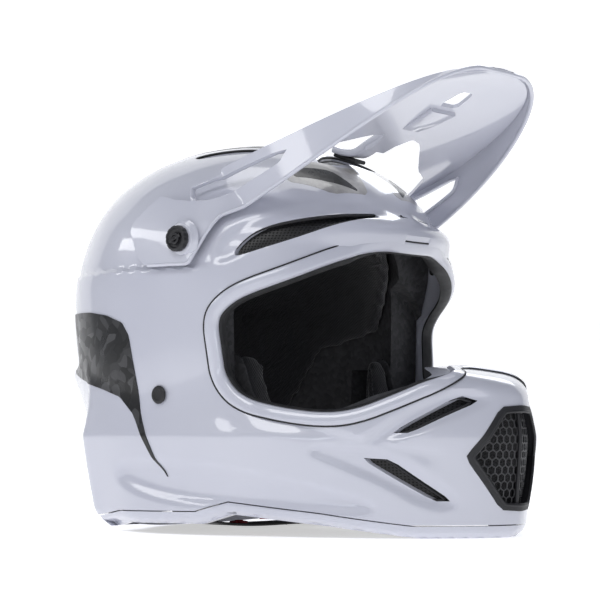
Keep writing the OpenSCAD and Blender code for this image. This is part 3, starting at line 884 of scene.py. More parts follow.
def visor_section(stations, inset, walls, roofs):
    """Rows of points from the right edge, up, over the roof and down to the left edge."""
    x = stations[:, None]
    v = np.linspace(0, 1, walls)[None]
    w = wall_w(np.broadcast_to(x, (len(stations), walls)), v)
    z = edge_z(x) + (shoulder_z(x) - edge_z(x)) * v
    # The shoulder is a rounded corner, and the roof a shallow arch
    t = np.cos(np.linspace(0, np.pi / 2, roofs))[None, 1:]
    corner = (w[:, -1:] - 3.2) * t
    rise = shoulder_z(x) + 3.5 * np.minimum(1, visor_w(x) / 55) ** 1.5 * (1 - t * t)
    w = w - inset
    z = z - np.where(v > 0.9, inset * (v - 0.9) * 10, 0)
    half_w = np.hstack([w, np.minimum(corner, corner[:, :1])])
    half_z = np.hstack([z, rise - inset])
    left = np.stack([np.broadcast_to(x, half_w.shape), half_w, half_z], -1)
    right = (left * [1, -1, 1])[:, -2::-1]
    return np.concatenate([left, right], 1)


def visor_blank():
    last_x = TIP_X - 0.3
    rear, front = np.linspace(-14, 70, 60), np.linspace(74, last_x, 50)
    stations = np.unique(np.concatenate([rear, front, last_x - np.array([0.5, 1.2, 2.2, 3.4])]))
    outer = visor_section(stations, 0.0, 12, 14)
    inset = np.minimum(VISOR_WALL, 0.4 * visor_w(stations))[:, None]
    inner = visor_section(stations, inset, 12, 14)[:, ::-1]
    rings = np.concatenate([outer, inner], 1)
    m, n = rings.shape[:2]
    faces = [(r * n + c, (r + 1) * n + c, (r + 1) * n + (c + 1) % n, r * n + (c + 1) % n)
             for r in range(m - 1) for c in range(n)]
    half, last = n // 2, (m - 1) * n
    faces += [(c, c + 1, n - 2 - c, n - 1 - c) for c in range(half - 1)]
    faces += [(last + c + 1, last + c, last + n - 1 - c, last + n - 2 - c) for c in range(half - 1)]
    return outward(link_mesh("visor_shell", rings.reshape(-1, 3), faces))


SIDE_WINDOW = rounded([(88, 233), (23, 213), (27, 203), (39, 203), (71, 218), (83, 224)], 1, 0.15)
REAR_EDGE = [(-60, 120), (3, 120), (3, 164), (-3, 169), (-13, 186), (-12, 192), (9, 213), (9, 260),
             (-60, 260)]
ROOF_OPENING = rounded([(-60, 9), (92, 9), (104, 14), (101, 26), (74, 60), (66, 78), (48, 89), (34, 97),
                        (26, 112), (-60, 112)], 1, 0.12)
TIP_SLOT = rounded([(141, -9), (157, -6), (157, 6), (141, 9)], 1, 0.15)

visor = visor_blank()
rear_cut = [prism(np.array(REAR_EDGE, float), 1, -300, 300)]
roof_cuts = [prism(ROOF_OPENING * [1, s], 2, 196, 320) for s in (1, -1)]
spine_cut = [prism(np.array([(-60, -10), (84, -10), (84, 10), (-60, 10)], float), 2, 196, 320)]
holes = [prism(SIDE_WINDOW, 1, -300, 300), prism(TIP_SLOT, 2, 200, 320)]
carve(visor, holes + rear_cut + roof_cuts + spine_cut)
settle(visor, "visor_body", ["visor"], white_paint, 32)

# %% [markdown]
# A middle spine carries the visor over the crown, and ends in a rubber-shod foot. It is one bar with a
# rounded section, swept along the middle line. A rolled bead runs round the visor's lower edge.

# %% Spine, bead and pivot bosses
def rounded_bar(half_width, height, corner=1.4, count=4):
    """Closed section of a bar with rounded corners."""
    turn = np.linspace(0, np.pi / 2, count)
    inset = np.array([half_width, height / 2]) - corner
    quarter = inset + corner * np.stack([np.cos(turn), np.sin(turn)], 1)
    return np.vstack([quarter, quarter[::-1] * [-1, 1], quarter * [-1, -1], quarter[::-1] * [1, -1]])


def spread(line, count):
    """An open line again, evenly spaced and softened at its corners."""
    line = np.asarray(line, float)
    for _ in range(3):
        mids = np.stack([0.75 * line[:-1] + 0.25 * line[1:], 0.25 * line[:-1] + 0.75 * line[1:]], 1)
        line = np.vstack([line[:1], mids.reshape(-1, line.shape[1]), line[-1:]])
    along = np.concatenate([[0], np.cumsum(np.linalg.norm(np.diff(line, axis=0), axis=1))])
    want = np.linspace(0, along[-1], count)
    return np.stack([np.interp(want, along, line[:, k]) for k in range(line.shape[1])], 1)


def bar_along(name, line, widths, height, out=(0, 0, 1)):
    """Bar whose width changes along an open line."""
    count = len(line)
    ahead = unit(np.gradient(line, axis=0))
    out = np.broadcast_to(np.asarray(out, float), line.shape)
    out = unit(out - ahead * np.sum(out * ahead, 1, keepdims=True))
    across = np.cross(ahead, out)
    height = np.broadcast_to(height, (count,))
    rings = []
    for i in range(count):
        section = rounded_bar(widths[i], height[i], min(1.4, height[i] * 0.45))
        rings.append(line[i] + across[i] * section[:, :1] + out[i] * section[:, 1:])
    return outward(link_mesh(name, np.vstack(rings), tube_faces(count, len(rings[0]))))


def lathe(name, profile, centre, axis, count=48, ripple=None):
    """A profile of (radius, height) turned about an axis. ripple changes the radius with the turn."""
    turn = np.linspace(0, 2 * np.pi, count, endpoint=False)
    axis = np.asarray(axis, float) / np.linalg.norm(axis)
    side = np.cross(axis, [1.0, 0, 0] if abs(axis[0]) < 0.9 else [0, 1.0, 0])
    side /= np.linalg.norm(side)
    other = np.cross(axis, side)
    points = []
    for r, h in profile:
        radius = r + (ripple(turn, r, h) if ripple else 0)
        points.append(np.asarray(centre) + axis * h + np.outer(radius * np.cos(turn), side)
                      + np.outer(radius * np.sin(turn), other))
    return outward(link_mesh(name, np.vstack(points), tube_faces(len(profile), count)))


spine_line = spread([(56, 0, 243.6), (64, 0, 240.6), (73, 0, 239.6), (85, 0, 246), (98, 0, 250),
                     (112, 0, 253.4), (124, 0, 256.0), (138, 0, 260.6)], 48)
spine_width = np.interp(spine_line[:, 0], [56, 64, 73, 85, 98, 112, 138],
                        [8.2, 8.6, 7.6, 7.8, 8.4, 9.6, 12.5])
spine_height = np.interp(spine_line[:, 0], [56, 73, 100, 120, 138], [4.4, 4.6, 4.8, 5.2, 4.4])
spine = bar_along("visor_spine", spine_line, spine_width, spine_height)
settle(spine, "visor_body", [], white_paint, 50)

pad_line = spread([(55, 0, 240.4), (64, 0, 237.2), (72.5, 0, 234.4)], 16)
foot = bar_along("visor_foot_rubber", pad_line, np.full(16, 5.4), 2.4)
settle(foot, "visor_body", ["visor_foot_pad"], rubber, 50)

edge_x = np.concatenate([np.linspace(5, 34, 12), np.linspace(36, 150, 50), np.linspace(153, TIP_X - 1.0, 30)])
edge_half = np.stack([edge_x, wall_w(edge_x, np.zeros(edge_x.shape)) - VISOR_WALL / 2, edge_z(edge_x)], 1)
edge_all = np.vstack([edge_half, (edge_half * [1, -1, 1])[::-1]])
edge_all = spread(edge_all, 260)
edge_out = np.cross(np.gradient(edge_all, axis=0), [0.0, 0, -1])
bead = swept("visor_edge_bead", edge_all, edge_out, oval(2.6, 3.0, 10), closed=False)
settle(bead, "visor_body", [], white_paint, 60)

# Each side window is rimmed by a return that stands in from the wall
window_line = even(grown(SIDE_WINDOW, 0.3), 110)
window_x = window_line[:, 0]
share = (window_line[:, 1] - edge_z(window_x)) / (shoulder_z(window_x) - edge_z(window_x))
window_y = wall_w(window_x, share)
returns = []
for side in (-1, 1):
    rim_3d = np.stack([window_x, side * (window_y - VISOR_WALL - 0.4), window_line[:, 1]], 1)
    returns.append(swept("return", rim_3d, np.broadcast_to([0.0, side, 0], rim_3d.shape), oval(1.8, 4.4, 10)))
settle(joined("visor_window_returns", returns), "visor_body", [], white_paint, 60)

plate_w = float(side_point(PIVOT[0], PIVOT[2], -PLATE_GAP, 1)[1])
for side in (-1, 1):
    label = "left" if side > 0 else "right"
    profile = [(4.6, -1.0), (4.6, 2.2), (5.2, 2.75), (9.0, 2.8), (9.8, 2.4), (10.2, 1.2), (11.4, 0.2),
               (12.0, -1.0)]
    boss = lathe("visor_boss_" + label, profile, (PIVOT[0], side * plate_w, PIVOT[2]), (0, side, 0), 64)
    settle(boss, "visor_body", [], white_paint, 40)

# %% [markdown]
# The knobs are what a gloved hand turns: a round cap with finger grips round its rim and a bar across
# its face. The bar and grips catch small highlights, which is what makes a black part readable.

# %% Knobs
def grips(turn, r, h):
    """Twelve shallow flutes round the cap's rim."""
    return np.where(r > 7.0, -0.35 * np.clip(np.cos(12 * turn), 0, 1) ** 2, 0)


def knob(side):
    label = "left" if side > 0 else "right"
    low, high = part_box("visor_knob_" + label)
    face = max(abs(low.y), abs(high.y)) / MM
    at = (PIVOT[0], side * (face - 5.0), PIVOT[2])
    cap_profile = [(3.9, -20), (3.9, 0.0), (7.3, 0.0), (7.9, 0.4), (8.0, 1.2), (8.0, 3.2), (7.6, 4.0),
                   (6.7, 4.35), (6.0, 4.3), (5.6, 3.5), (5.2, 3.2), (0.6, 3.2)]
    ring_profile = [(2.0, 3.2), (2.0, 4.5), (2.4, 4.9), (3.1, 4.9), (3.5, 4.5), (3.5, 3.2)]
    cap = lathe("cap", cap_profile, at, (0, side, 0), 96, grips)
    pieces = [cap]
    for slant, length, width in ((0, 9.6, 2.4), (90, 2.4, 2.4)):
        a = math.radians(slant + 24)
        middle = np.array(at) + [0, side * 3.9, 0]
        half = np.array([math.cos(a), 0, math.sin(a)]) * length / 2
        line = np.linspace(middle - half, middle + half, 8)
        pieces.append(bar_along("bar", line, np.full(8, width / 2), 1.8, (0, side, 0)))
    pieces.append(lathe("ring", ring_profile, at, (0, side, 0), 40))
    name = "knob_" + label
    settle(joined(name, pieces), name, ["visor_knob_" + label], black_plastic, 40)


for side in (-1, 1):
    knob(side)

# %% [markdown]
# ## Vents
# Each slot has a thin black frame round its mouth and a perforated insert set back inside it. All the
# inserts are one layer of the shell's own shape, kept only where the slots are.

# %% Inserts and slot frames
def layer(name, cutters, outer, inner, pressed=relief, columns=300, rows=130):
    """A skin between two depths under the shell's face, kept only inside the cutters."""
    obj = solid_between(name, field, RAY_CENTRE, outer, inner, columns, rows, columns, rows,
                        pressed, None, pressed)
    return carve(obj, [joined("cutters", cutters) if len(cutters) > 1 else cutters[0]], "INTERSECT")


inserts = layer("vent_inserts", slot_cutters(0.4), 2.9, 4.1)
VENTS = [kind + s for kind in ("chin_upper_vent_", "chin_lower_vent_", "brow_vent_", "crown_side_vent_")
         for s in ("left", "right")] + ["crown_front_vent"]
settle(inserts, "helmet", VENTS, vent_black, 35)

frames = []
SLOTS = ((upper_line, "side", (-1, 1)), (lower_line, "side", (-1, 1)), (brow_line, "side", (-1, 1)),
         (crown_line, "top", (1,)), (crown_side_line, "top", (-1, 1)))
for outline, view, sides in SLOTS:
    for s in sides:
        shape = even(grown(outline, -0.2), 90)
        if view == "top" and s < 0:
            shape = shape * [1, -1]
        line, out = on_shell(shape, view, 0.0, s)
        frames.append(swept("slot_frame", line - out * 0.9, out, oval(1.5, 1.7, 8)))
settle(joined("slot_frames", frames), "helmet", [], black_plastic, 60)

# %% [markdown]
# The mouth vent is a black bezel round a mesh of six-sided cells, with a dust filter behind. The mesh
# is made flat by Geometry Nodes: a grid whose every second row is shifted half a cell makes even
# triangles, and the dual of even triangles is a honeycomb. Its edges become round wires. It is then
# laid on the curve of the nose and trimmed to the bezel.

# %% Mouth bezel and filter
bezel = layer("mouth_bezel", [mouth_cutter(0.4)], -0.5, 8.0, unpressed, 260, 120)
carve(bezel, [prism(grown(mouth_line, -3.4), 0, 150, 300)])
settle(bezel, "helmet", ["mouth_vent_frame"], black_plastic, 30)
bezel_line, bezel_out = on_shell(even(grown(mouth_line, -3.0), 120), "front")
lip = swept("mouth_bezel_lip", bezel_line + bezel_out * 0.1, bezel_out, oval(2.2, 2.2, 8))
settle(lip, "helmet", [], black_plastic, 60)
dust_cutter = prism(grown(mouth_line, -2.6), 0, 150, 300)
dust = layer("mouth_filter", [dust_cutter], 6.4, 8.6, unpressed, 220, 100)
settle(dust, "helmet", ["mouth_vent_filter"], filter_foam, 40)


# %% The honeycomb, by Geometry Nodes
class Nodes:
    """A Geometry Nodes tree, written as calls."""

    def __init__(self, name, **inputs):
        self.tree = bpy.data.node_groups.new(name, "GeometryNodeTree")
        self.socket("Geometry", "INPUT", "Geometry")
        self.ids = {}
        for label, (kind, value) in inputs.items():
            socket = self.socket(label.replace("_", " "), "INPUT", kind)
            if kind != "Material":
                socket.default_value = value
            self.ids[label] = (socket.identifier, value)
        self.socket("Geometry", "OUTPUT", "Geometry")
        self.inside = self.tree.nodes.new("NodeGroupInput")
        self.result = self.tree.nodes.new("NodeGroupOutput")

    def socket(self, label, direction, kind):
        return self.tree.interface.new_socket(label, in_out=direction, socket_type="NodeSocket" + kind)

    def input(self, label="Geometry"):
        return self.inside.outputs[label.replace("_", " ")]

    def add(self, kind, settings=(), out=0, **inputs):
        node = self.tree.nodes.new(kind)
        for key, value in dict(settings).items():
            setattr(node, key, value)
        for key, value in inputs.items():
            place = node.inputs[int(key[1:])] if key[1:].isdigit() else node.inputs[key.replace("_", " ")]
            if isinstance(value, bpy.types.NodeSocket):
                self.tree.links.new(value, place)
            else:
                place.default_value = value
        return node.outputs[out]

    def maths(self, operation, a, b):
        return self.add("ShaderNodeMath", {"operation": operation}, i0=a, i1=b)

    def finish(self, geometry, obj):
        """Runs the tree on an object and keeps the mesh it makes."""
        real = self.add("GeometryNodeRealizeInstances", Geometry=geometry)
        done = self.add("GeometryNodeSetMaterial", Geometry=real, Material=self.input("Finish"))
        self.tree.links.new(done, self.result.inputs["Geometry"])
        mod = obj.modifiers.new(self.tree.name, "NODES")
        mod.node_group = self.tree
        for identifier, value in self.ids.values():
            mod[identifier] = value
        return applied(obj)


def honeycomb(cell, wire, finish):
    """Flat honeycomb: X and Y lie in its plane, and both are in metres here."""
    g = Nodes("honeycomb", Cell=("Float", cell), Wire=("Float", wire), Columns=("Int", 26), Rows=("Int", 30),
              Tall=("Float", 1.2), Finish=("Material", finish))
    rows, columns = g.input("Rows"), g.input("Columns")
    width = g.maths("MULTIPLY", g.input("Cell"), g.maths("SUBTRACT", columns, 1))
    height = g.maths("MULTIPLY", g.maths("MULTIPLY", g.input("Cell"), g.input("Tall")),
                     g.maths("MULTIPLY", g.maths("SUBTRACT", rows, 1), 0.866))
    grid = g.add("GeometryNodeMeshGrid", Size_X=width, Size_Y=height, Vertices_X=columns, Vertices_Y=rows)
    odd = g.maths("MODULO", g.maths("MODULO", g.add("GeometryNodeInputIndex"), rows), 2.0)
    half_cell = g.maths("MULTIPLY", g.maths("MULTIPLY", odd, 0.5), g.input("Cell"))
    shift = g.add("ShaderNodeCombineXYZ", X=half_cell)
    moved = g.add("GeometryNodeSetPosition", Geometry=grid, Offset=shift)
    even_triangles = g.add("GeometryNodeTriangulate", {"quad_method": "SHORTEST_DIAGONAL"}, Mesh=moved)
    cells = g.add("GeometryNodeDualMesh", Mesh=even_triangles)
    wires = g.add("GeometryNodeMeshToCurve", Mesh=cells)
    ring = g.add("GeometryNodeCurvePrimitiveCircle", {"mode": "RADIUS"}, Resolution=6, Radius=g.input("Wire"))
    tubes = g.add("GeometryNodeCurveToMesh", Curve=wires, Profile_Curve=ring)
    carrier = link_mesh("mouth_honeycomb", [(0, 0, 0), (0, 1, 0), (1, 0, 0)], [(0, 1, 2)], metres=True)
    return g.finish(tubes, carrier)


comb = honeycomb(0.0044, 0.00042, grille_grey)
flat = np.array([v.co for v in comb.data.vertices]) / MM
middle_z = mouth_line[:, 1].mean()
on_nose = front_point(flat[:, 0], flat[:, 1] + middle_z, 2.6)
out = slope(field, on_nose)
laid = on_nose + out * flat[:, 2:]
comb.data.vertices.foreach_set("co", to_frame(laid).ravel())
trimmed = bmesh.new()
trimmed.from_mesh(comb.data)
mouth_inner = grown(mouth_line, -2.2)
middles = np.array([f.calc_center_median() for f in trimmed.faces]) / MM
keep = distance_to(middles[:, 1:], mouth_inner) < 0
bmesh.ops.delete(trimmed, geom=[f for f, k in zip(list(trimmed.faces), keep) if not k], context="FACES")
trimmed.to_mesh(comb.data)
trimmed.free()
settle(comb, "helmet", ["mouth_vent_grille"], grille_grey, 80)
ridge_z = np.linspace(20, 76, 24)
ridge_line = front_point(np.zeros(24), ridge_z, 1.6)
ridge = bar_along("mouth_ridge", ridge_line, np.full(24, 1.1), 2.6, (1, 0, 0))
settle(ridge, "helmet", [], black_plastic, 60)

# %% [markdown]
# ## Panels and prints
# The rear quarters carry bonded carbon panels with a long tail, and the crown has printed shapes
# under its clear coat. Both are skins a fraction of a millimetre proud of the paint.

# %% Rear panels and crown prints
REAR_PANEL = rounded([(-150, 140), (-58, 138), (-36, 135), (-21, 130), (-15, 122), (-8, 90), (-5, 73),
                      (13, 32), (-11, 73), (-24, 84), (-42, 89), (-92, 99), (-112, 108),
                      (-150, 109)], 1, 0.08)
panels = layer("rear_carbon_panels", both_sides(REAR_PANEL, 28, 140), -0.6, 0.6, columns=360, rows=160)
settle(panels, "helmet", ["rear_panel_left", "rear_panel_right"], carbon, 35)

CROWN_DARK = rounded([(-60, 20), (-10, 22), (34, 30), (30, 36), (-14, 46), (-60, 50)], 1, 0.1)
CROWN_FRONT = rounded([(71, 4), (92, 16), (86, 44), (66, 64), (54, 54), (62, 30), (70, 18)], 1, 0.1)
CROWN_SLIVER = rounded([(60, 52), (72, 30), (90, 22), (78, 42), (66, 58)], 1, 0.1)
PRINTS = (("crown_print_dark", CROWN_DARK, carbon, 0.12), ("crown_print_grey", CROWN_FRONT, grey_print, 0.12),
          ("crown_print_sliver", CROWN_SLIVER, carbon, 0.2))
for name, outline, finish, proud in PRINTS:
    pair = [prism(outline * [1, s], 2, 180, 290) for s in (1, -1)]
    decal = layer(name, pair, -proud, 0.5, columns=360, rows=160)
    settle(decal, "helmet", [], finish, 35)

# %% [markdown]
# ## Liners
# Under the shell lies the expanded foam that takes an impact. Its outer face follows the shell, its
# inner face the head. The slip sheet and then the comfort lining lie on its inner face.

# %% Impact foam and slip sheet
FOAM_OUTER, FOAM_FACE, LAYER_GAP, SLIP = 5.6, 30.9, 0.4, 0.8
FOAM_KEEP = [(-160, 26), (24, 26), (38, 56), (42, 145), (60, 181), (160, 184), (160, 270), (-160, 270)]
LINING_KEEP = [(-130, 66), (-52, 66), (-26, 118), (26, 128), (56, 186), (130, 190), (130, 260), (-130, 260)]
CHIN_KEEP = [(44, 14), (106, 12), (150, 8), (152, 8), (152, 92), (128, 84), (100, 68), (44, 66)]
HEAD_CENTRE = np.array([0.0, 0.0, 110.0])
LINER_COLUMNS, LINER_ROWS = ((180, 84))

def as_array(outline):
    return np.array(outline, float)


LINER_GRID = (LINER_COLUMNS, LINER_ROWS)
foam = solid_between("crown_impact_foam", field, RAY_CENTRE, FOAM_OUTER, FOAM_FACE, *LINER_GRID, *LINER_GRID,
                     None, head_field)
channels = []
for s in (-1, 1):
    low, high = sorted((s * 84, s * 130))
    channels.append(prism(as_array([(-5, -1), (25, -1), (25, 105), (-5, 105)]), 1, low, high))
carve(foam, channels + [prism(grown(eye_line, 0.8), 0, 36, 300)])
carve(foam, [prism(as_array(FOAM_KEEP), 1, -300, 300)], "INTERSECT")
settle(foam, "helmet", ["crown_foam"], foam_finish, 35)

jaw = solid_between("chin_impact_foam", field, RAY_CENTRE, FOAM_OUTER, 60.0, *LINER_GRID, 60, 30)
jaw_angle = np.radians(np.arange(-90, 91, 6))
mouth_room = np.stack([26 + 122 * np.cos(jaw_angle) ** 0.9, 84 * np.sin(jaw_angle)], 1)
carve(jaw, [prism(mouth_room, 2, -50, 300), prism(grown(eye_line, 0.8), 0, 36, 300)])
carve(jaw, [prism(as_array(CHIN_KEEP), 1, -300, 300)], "INTERSECT")
settle(jaw, "helmet", ["chin_foam"], foam_finish, 35)

slip_level = FOAM_FACE + LAYER_GAP
slip_sheet_piece = solid_between("slip_sheet", head_field, HEAD_CENTRE, slip_level, slip_level + SLIP,
                                 *LINER_GRID, *LINER_GRID)
carve(slip_sheet_piece, [prism(grown(as_array(LINING_KEEP), -7), 1, -300, 300)], "INTERSECT")
settle(slip_sheet_piece, "helmet", ["slip_liner"], slip_finish, 35)

# %% [markdown]
# The padding is cloth over soft foam, so it is made as cloth is: a slightly small solid is turned into
# an even mesh, swollen by pressure in the cloth simulation, and kept from moving too far.

# %% Inflating a pad
def heights(mesh):
    flat = np.empty(len(mesh.vertices) * 3)
    mesh.vertices.foreach_get("co", flat)
    return flat.reshape(-1, 3)


def inflated(obj, voxel=0.005, pressure=4.0, cap=0.0025, frames=20):
    remesh = obj.modifiers.new("even mesh", "REMESH")
    remesh.mode, remesh.voxel_size = "VOXEL", voxel
    applied(obj)
    start = heights(obj.data)
    cloth = obj.modifiers.new("cloth", "CLOTH")
    settings = cloth.settings
    settings.quality, settings.mass = 5, 0.2
    settings.use_pressure, settings.uniform_pressure_force = True, pressure
    settings.tension_stiffness = settings.compression_stiffness = 12
    settings.effector_weights.gravity = 0
    for frame_number in range(1, frames + 1):
        scene.frame_set(frame_number)
    applied(obj)
    scene.frame_set(1)
    moved = heights(obj.data) - start
    size = np.linalg.norm(moved, axis=1, keepdims=True)
    kept = start + moved * np.minimum(1, cap / np.maximum(size, 1e-9))
    obj.data.vertices.foreach_set("co", kept.ravel())
    smooth = obj.modifiers.new("soft", "SUBSURF")
    smooth.levels = smooth.render_levels = 1
    applied(obj)
    print(f"{obj.name}: swollen, {len(obj.data.polygons)} faces")
    return obj


# %% [markdown]
# Seams come after the swelling. A seam is a thin piping laid on the nearest points of the pad, and its
# stitches are one small thread shape repeated along the line by Geometry Nodes.

# %% Seams and stitches
def on_pad(obj, line):
    """A line's nearest points on a pad, in head millimetres, and the pad's direction there."""
    tree = BVHTree.FromObject(obj, bpy.context.evaluated_depsgraph_get())
    found = [tree.find_nearest(Vector(p)) for p in to_frame(line)]
    place = np.array([list(f[0]) for f in found]) / MM - [head_x, 0, 0]
    return place, np.array([list(f[1]) for f in found])


def stitched(name, line, spacing, finish, length=2.2, thick=0.35, lift=0.4, out=None):
    """Threads along an open line on a surface."""
    wire = bpy.data.meshes.new(name)
    raised = line if out is None else line + out * lift
    wire.from_pydata(to_frame(raised).tolist(), [(i, i + 1) for i in range(len(line) - 1)], [])
    obj = bpy.data.objects.new(name, wire)
    scene.collection.objects.link(obj)
    g = Nodes("stitches", Spacing=("Float", spacing * MM), Length=("Float", length * MM),
              Thick=("Float", thick * MM), Finish=("Material", finish))
    curve = g.add("GeometryNodeMeshToCurve", Mesh=g.input())
    points = g.tree.nodes.new("GeometryNodeCurveToPoints")
    points.mode = "LENGTH"
    g.tree.links.new(curve, points.inputs["Curve"])
    g.tree.links.new(g.input("Spacing"), points.inputs["Length"])
    thread_shape = g.add("GeometryNodeMeshUVSphere", Segments=6, Rings=4, Radius=1.0)
    half = g.maths("MULTIPLY", g.input("Length"), 0.5)
    size = g.add("ShaderNodeCombineXYZ", X=g.input("Thick"), Y=g.input("Thick"), Z=half)
    placed = g.add("GeometryNodeInstanceOnPoints", Points=points.outputs["Points"], Instance=thread_shape,
                   Rotation=points.outputs["Rotation"], Scale=size)
    return g.finish(placed, obj)


def seamed(obj, name, body, line, width=1.4, gap=2.2, closed=False):
    """Piping with a row of stitches beside it."""
    place, out = on_pad(obj, line)
    pipe = swept(name + "_piping", place + out * 0.1, out, oval(width, width, 8), closed)
    side = unit(np.cross(np.gradient(place, axis=0), out))
    beside, beside_out = on_pad(obj, place + side * gap)
    row = stitched(name + "_stitches", beside, 3.2, thread, out=beside_out, lift=0.25)
    settle(pipe, body, [], lining_knit, 60)
    settle(row, body, [], thread, 60)


# %% [markdown]
# The comfort lining is a crown pad in strips, with long gaps that let air through and show the slip
# sheet. Below it are the two cheek pads and the roll round the neck.

# %% Comfort lining
def head_band(first, last, count, rise, depth):
    """A line round the head's field, from one turn to another, seen from the head's centre."""
    turn = np.radians(np.linspace(first, last, count))
    rays = unit(np.stack([np.cos(turn), np.sin(turn), np.full(count, rise)], 1))
    return reach(head_field, np.broadcast_to(HEAD_CENTRE, rays.shape), rays, depth)


PAD_LEVEL, PADDING = FOAM_FACE + 2 * LAYER_GAP + SLIP, 9.0
lining = solid_between("comfort_lining", head_field, HEAD_CENTRE, PAD_LEVEL + 1.6, PAD_LEVEL + PADDING - 1.2,
                       90, 44, 80, 40)
carve(lining, [prism(as_array(LINING_KEEP), 1, -300, 300)], "INTERSECT")
AIR_GAP = rounded([(-72, 19), (52, 19), (58, 24), (52, 29), (-72, 29), (-78, 24)])
OUTER_GAP = AIR_GAP * [0.85, 1] + [0, 27]
carve(lining, [prism(gap * [1, s], 2, 150, 260) for gap in (AIR_GAP, OUTER_GAP) for s in (1, -1)])
inflated(lining, 0.0045, 4.0, 0.0016)
settle(lining, "helmet", ["comfort_liner"], lining_knit, 70)
seamed(lining, "lining_brow", "helmet", head_band(-62, 62, 60, 0.9, PAD_LEVEL + PADDING - 1))

# %% Cheek pads
PAD_PLAN = [(28, 74), (64, 69), (84, 56), (87, 48), (72, 46), (50, 50), (32, 56), (26, 61), (25, 69)]
PAD_SIDE = [(20, 30), (60, 27), (94, 40), (92, 66), (60, 72), (46, 84), (38, 112), (22, 112)]
PLATE_PLAN = [(28, 76.2), (65, 71.0), (64.7, 69.6), (28, 74.7)]
pad_plan, pad_side = rounded(PAD_PLAN), rounded(PAD_SIDE)
for s in (-1, 1):
    label = "left" if s > 0 else "right"
    body = "pad_" + label
    turned = [1, s]
    pad = prism(grown(pad_plan, -1.6) * turned, 2, 0, 140, "cheek_pad_cushion_" + label)
    low, high = sorted((0, s * 120))
    carve(pad, [prism(grown(pad_side, -1.6), 1, low, high)], "INTERSECT")
    inflated(pad, 0.004, 4.0, 0.0025)
    settle(pad, body, ["cheek_pad_" + label], lining_knit, 70)
    rim_path = even(grown(pad_side, -7.0), 90)
    middle_y = s * (56 + (rim_path[:, 0] - 50) * -0.12)
    seam_path = np.stack([rim_path[:, 0], middle_y - s * 8, rim_path[:, 1]], 1)
    seamed(pad, "cheek_seam_" + label, body, seam_path, closed=True)
    plate = prism(as_array(PLATE_PLAN) * turned, 2, 0, 140, "cheek_plate_" + label)
    carve(plate, [prism(grown(pad_side, -0.6), 1, low, high)], "INTERSECT")
    settle(plate, body, ["cheek_pad_plate_" + label], foam_finish, 35)
    tab_turn = math.radians(-9 * s)
    tab_along = np.array([math.cos(tab_turn), math.sin(tab_turn), 0])
    tab_top = np.array([44, 64 * s, 29.5]) + tab_along * 8 + np.array([0, 0.8 * s, 0])
    tab_line = np.linspace(tab_top, tab_top - [0, 0, 20.6], 14)
    tab_out = (-tab_along[1], tab_along[0], 0)
    tab = bar_along("pull_tab_strip_" + label, tab_line, np.full(14, 7.8), 1.5, tab_out)
    settle(tab, body, ["pull_tab_" + label], red_webbing, 50)
    across = np.linspace(-6, 6, 9)[:, None] * tab_along
    row = stitched("pull_tab_stitches_" + label, tab_top - [0, 0, 17] + across, 1.9, thread, 1.5, 0.3, 0.85,
                   np.broadcast_to(tab_out, (9, 3)))
    settle(row, body, [], thread, 60)

# %% Neck roll
roll = solid_between("neck_roll_pad", head_field, HEAD_CENTRE, FOAM_FACE + 1.6, FOAM_FACE + 15.6,
                     120, 60, 110, 56)
NECK_KEEP = rounded([(-130, 28.5), (-21.5, 28.5), (-21.5, 42.5), (-62, 46.5), (-130, 52.5)], 1, 0.1)
carve(roll, [prism(NECK_KEEP, 1, -300, 300)], "INTERSECT")
inflated(roll, 0.004, 4.0, 0.002)
settle(roll, "helmet", ["neck_roll"], lining_knit, 70)
seamed(roll, "neck_roll_seam", "helmet", head_band(118, 242, 80, -1.05, FOAM_FACE + 15))

# %% [markdown]
# ## Chin strap
# The strap is stored unfastened. Its ring side folds round the bars of two wire rings, and its tail
# side crosses under them. Webbing is a flat rounded bar whose width lies along X.

# %% Webbing
RIVET = np.array([10.0, 0.0, 85.0])
RING_Y, RING_LOW, RING_HIGH, WEB_W, WEB_T, WEB_LOW, RING_WIRE = 20.0, 9.0, 18.5, 22.0, 1.8, 3.4, 3.4
anchor_w = float(side_point(RIVET[0], RIVET[2], 0.0, 1)[1]) - 14
strap_top = RIVET[2] - 6


def ribbon(name, path, count):
    """Webbing along a path of (y, z)."""
    line = spread([(RIVET[0], y, z) for y, z in path], count)
    ahead = np.gradient(line, axis=0)
    out = unit(np.cross([1.0, 0, 0], ahead))
    rings = []
    section = rounded_bar(WEB_W / 2 - 0.2, WEB_T - 0.1, 0.7, 3)
    for p, n in zip(line, out):
        rings.append(p + np.array([1.0, 0, 0]) * section[:, :1] + n * section[:, 1:])
    return outward(link_mesh(name, np.vstack(rings), tube_faces(count, len(section)))), line


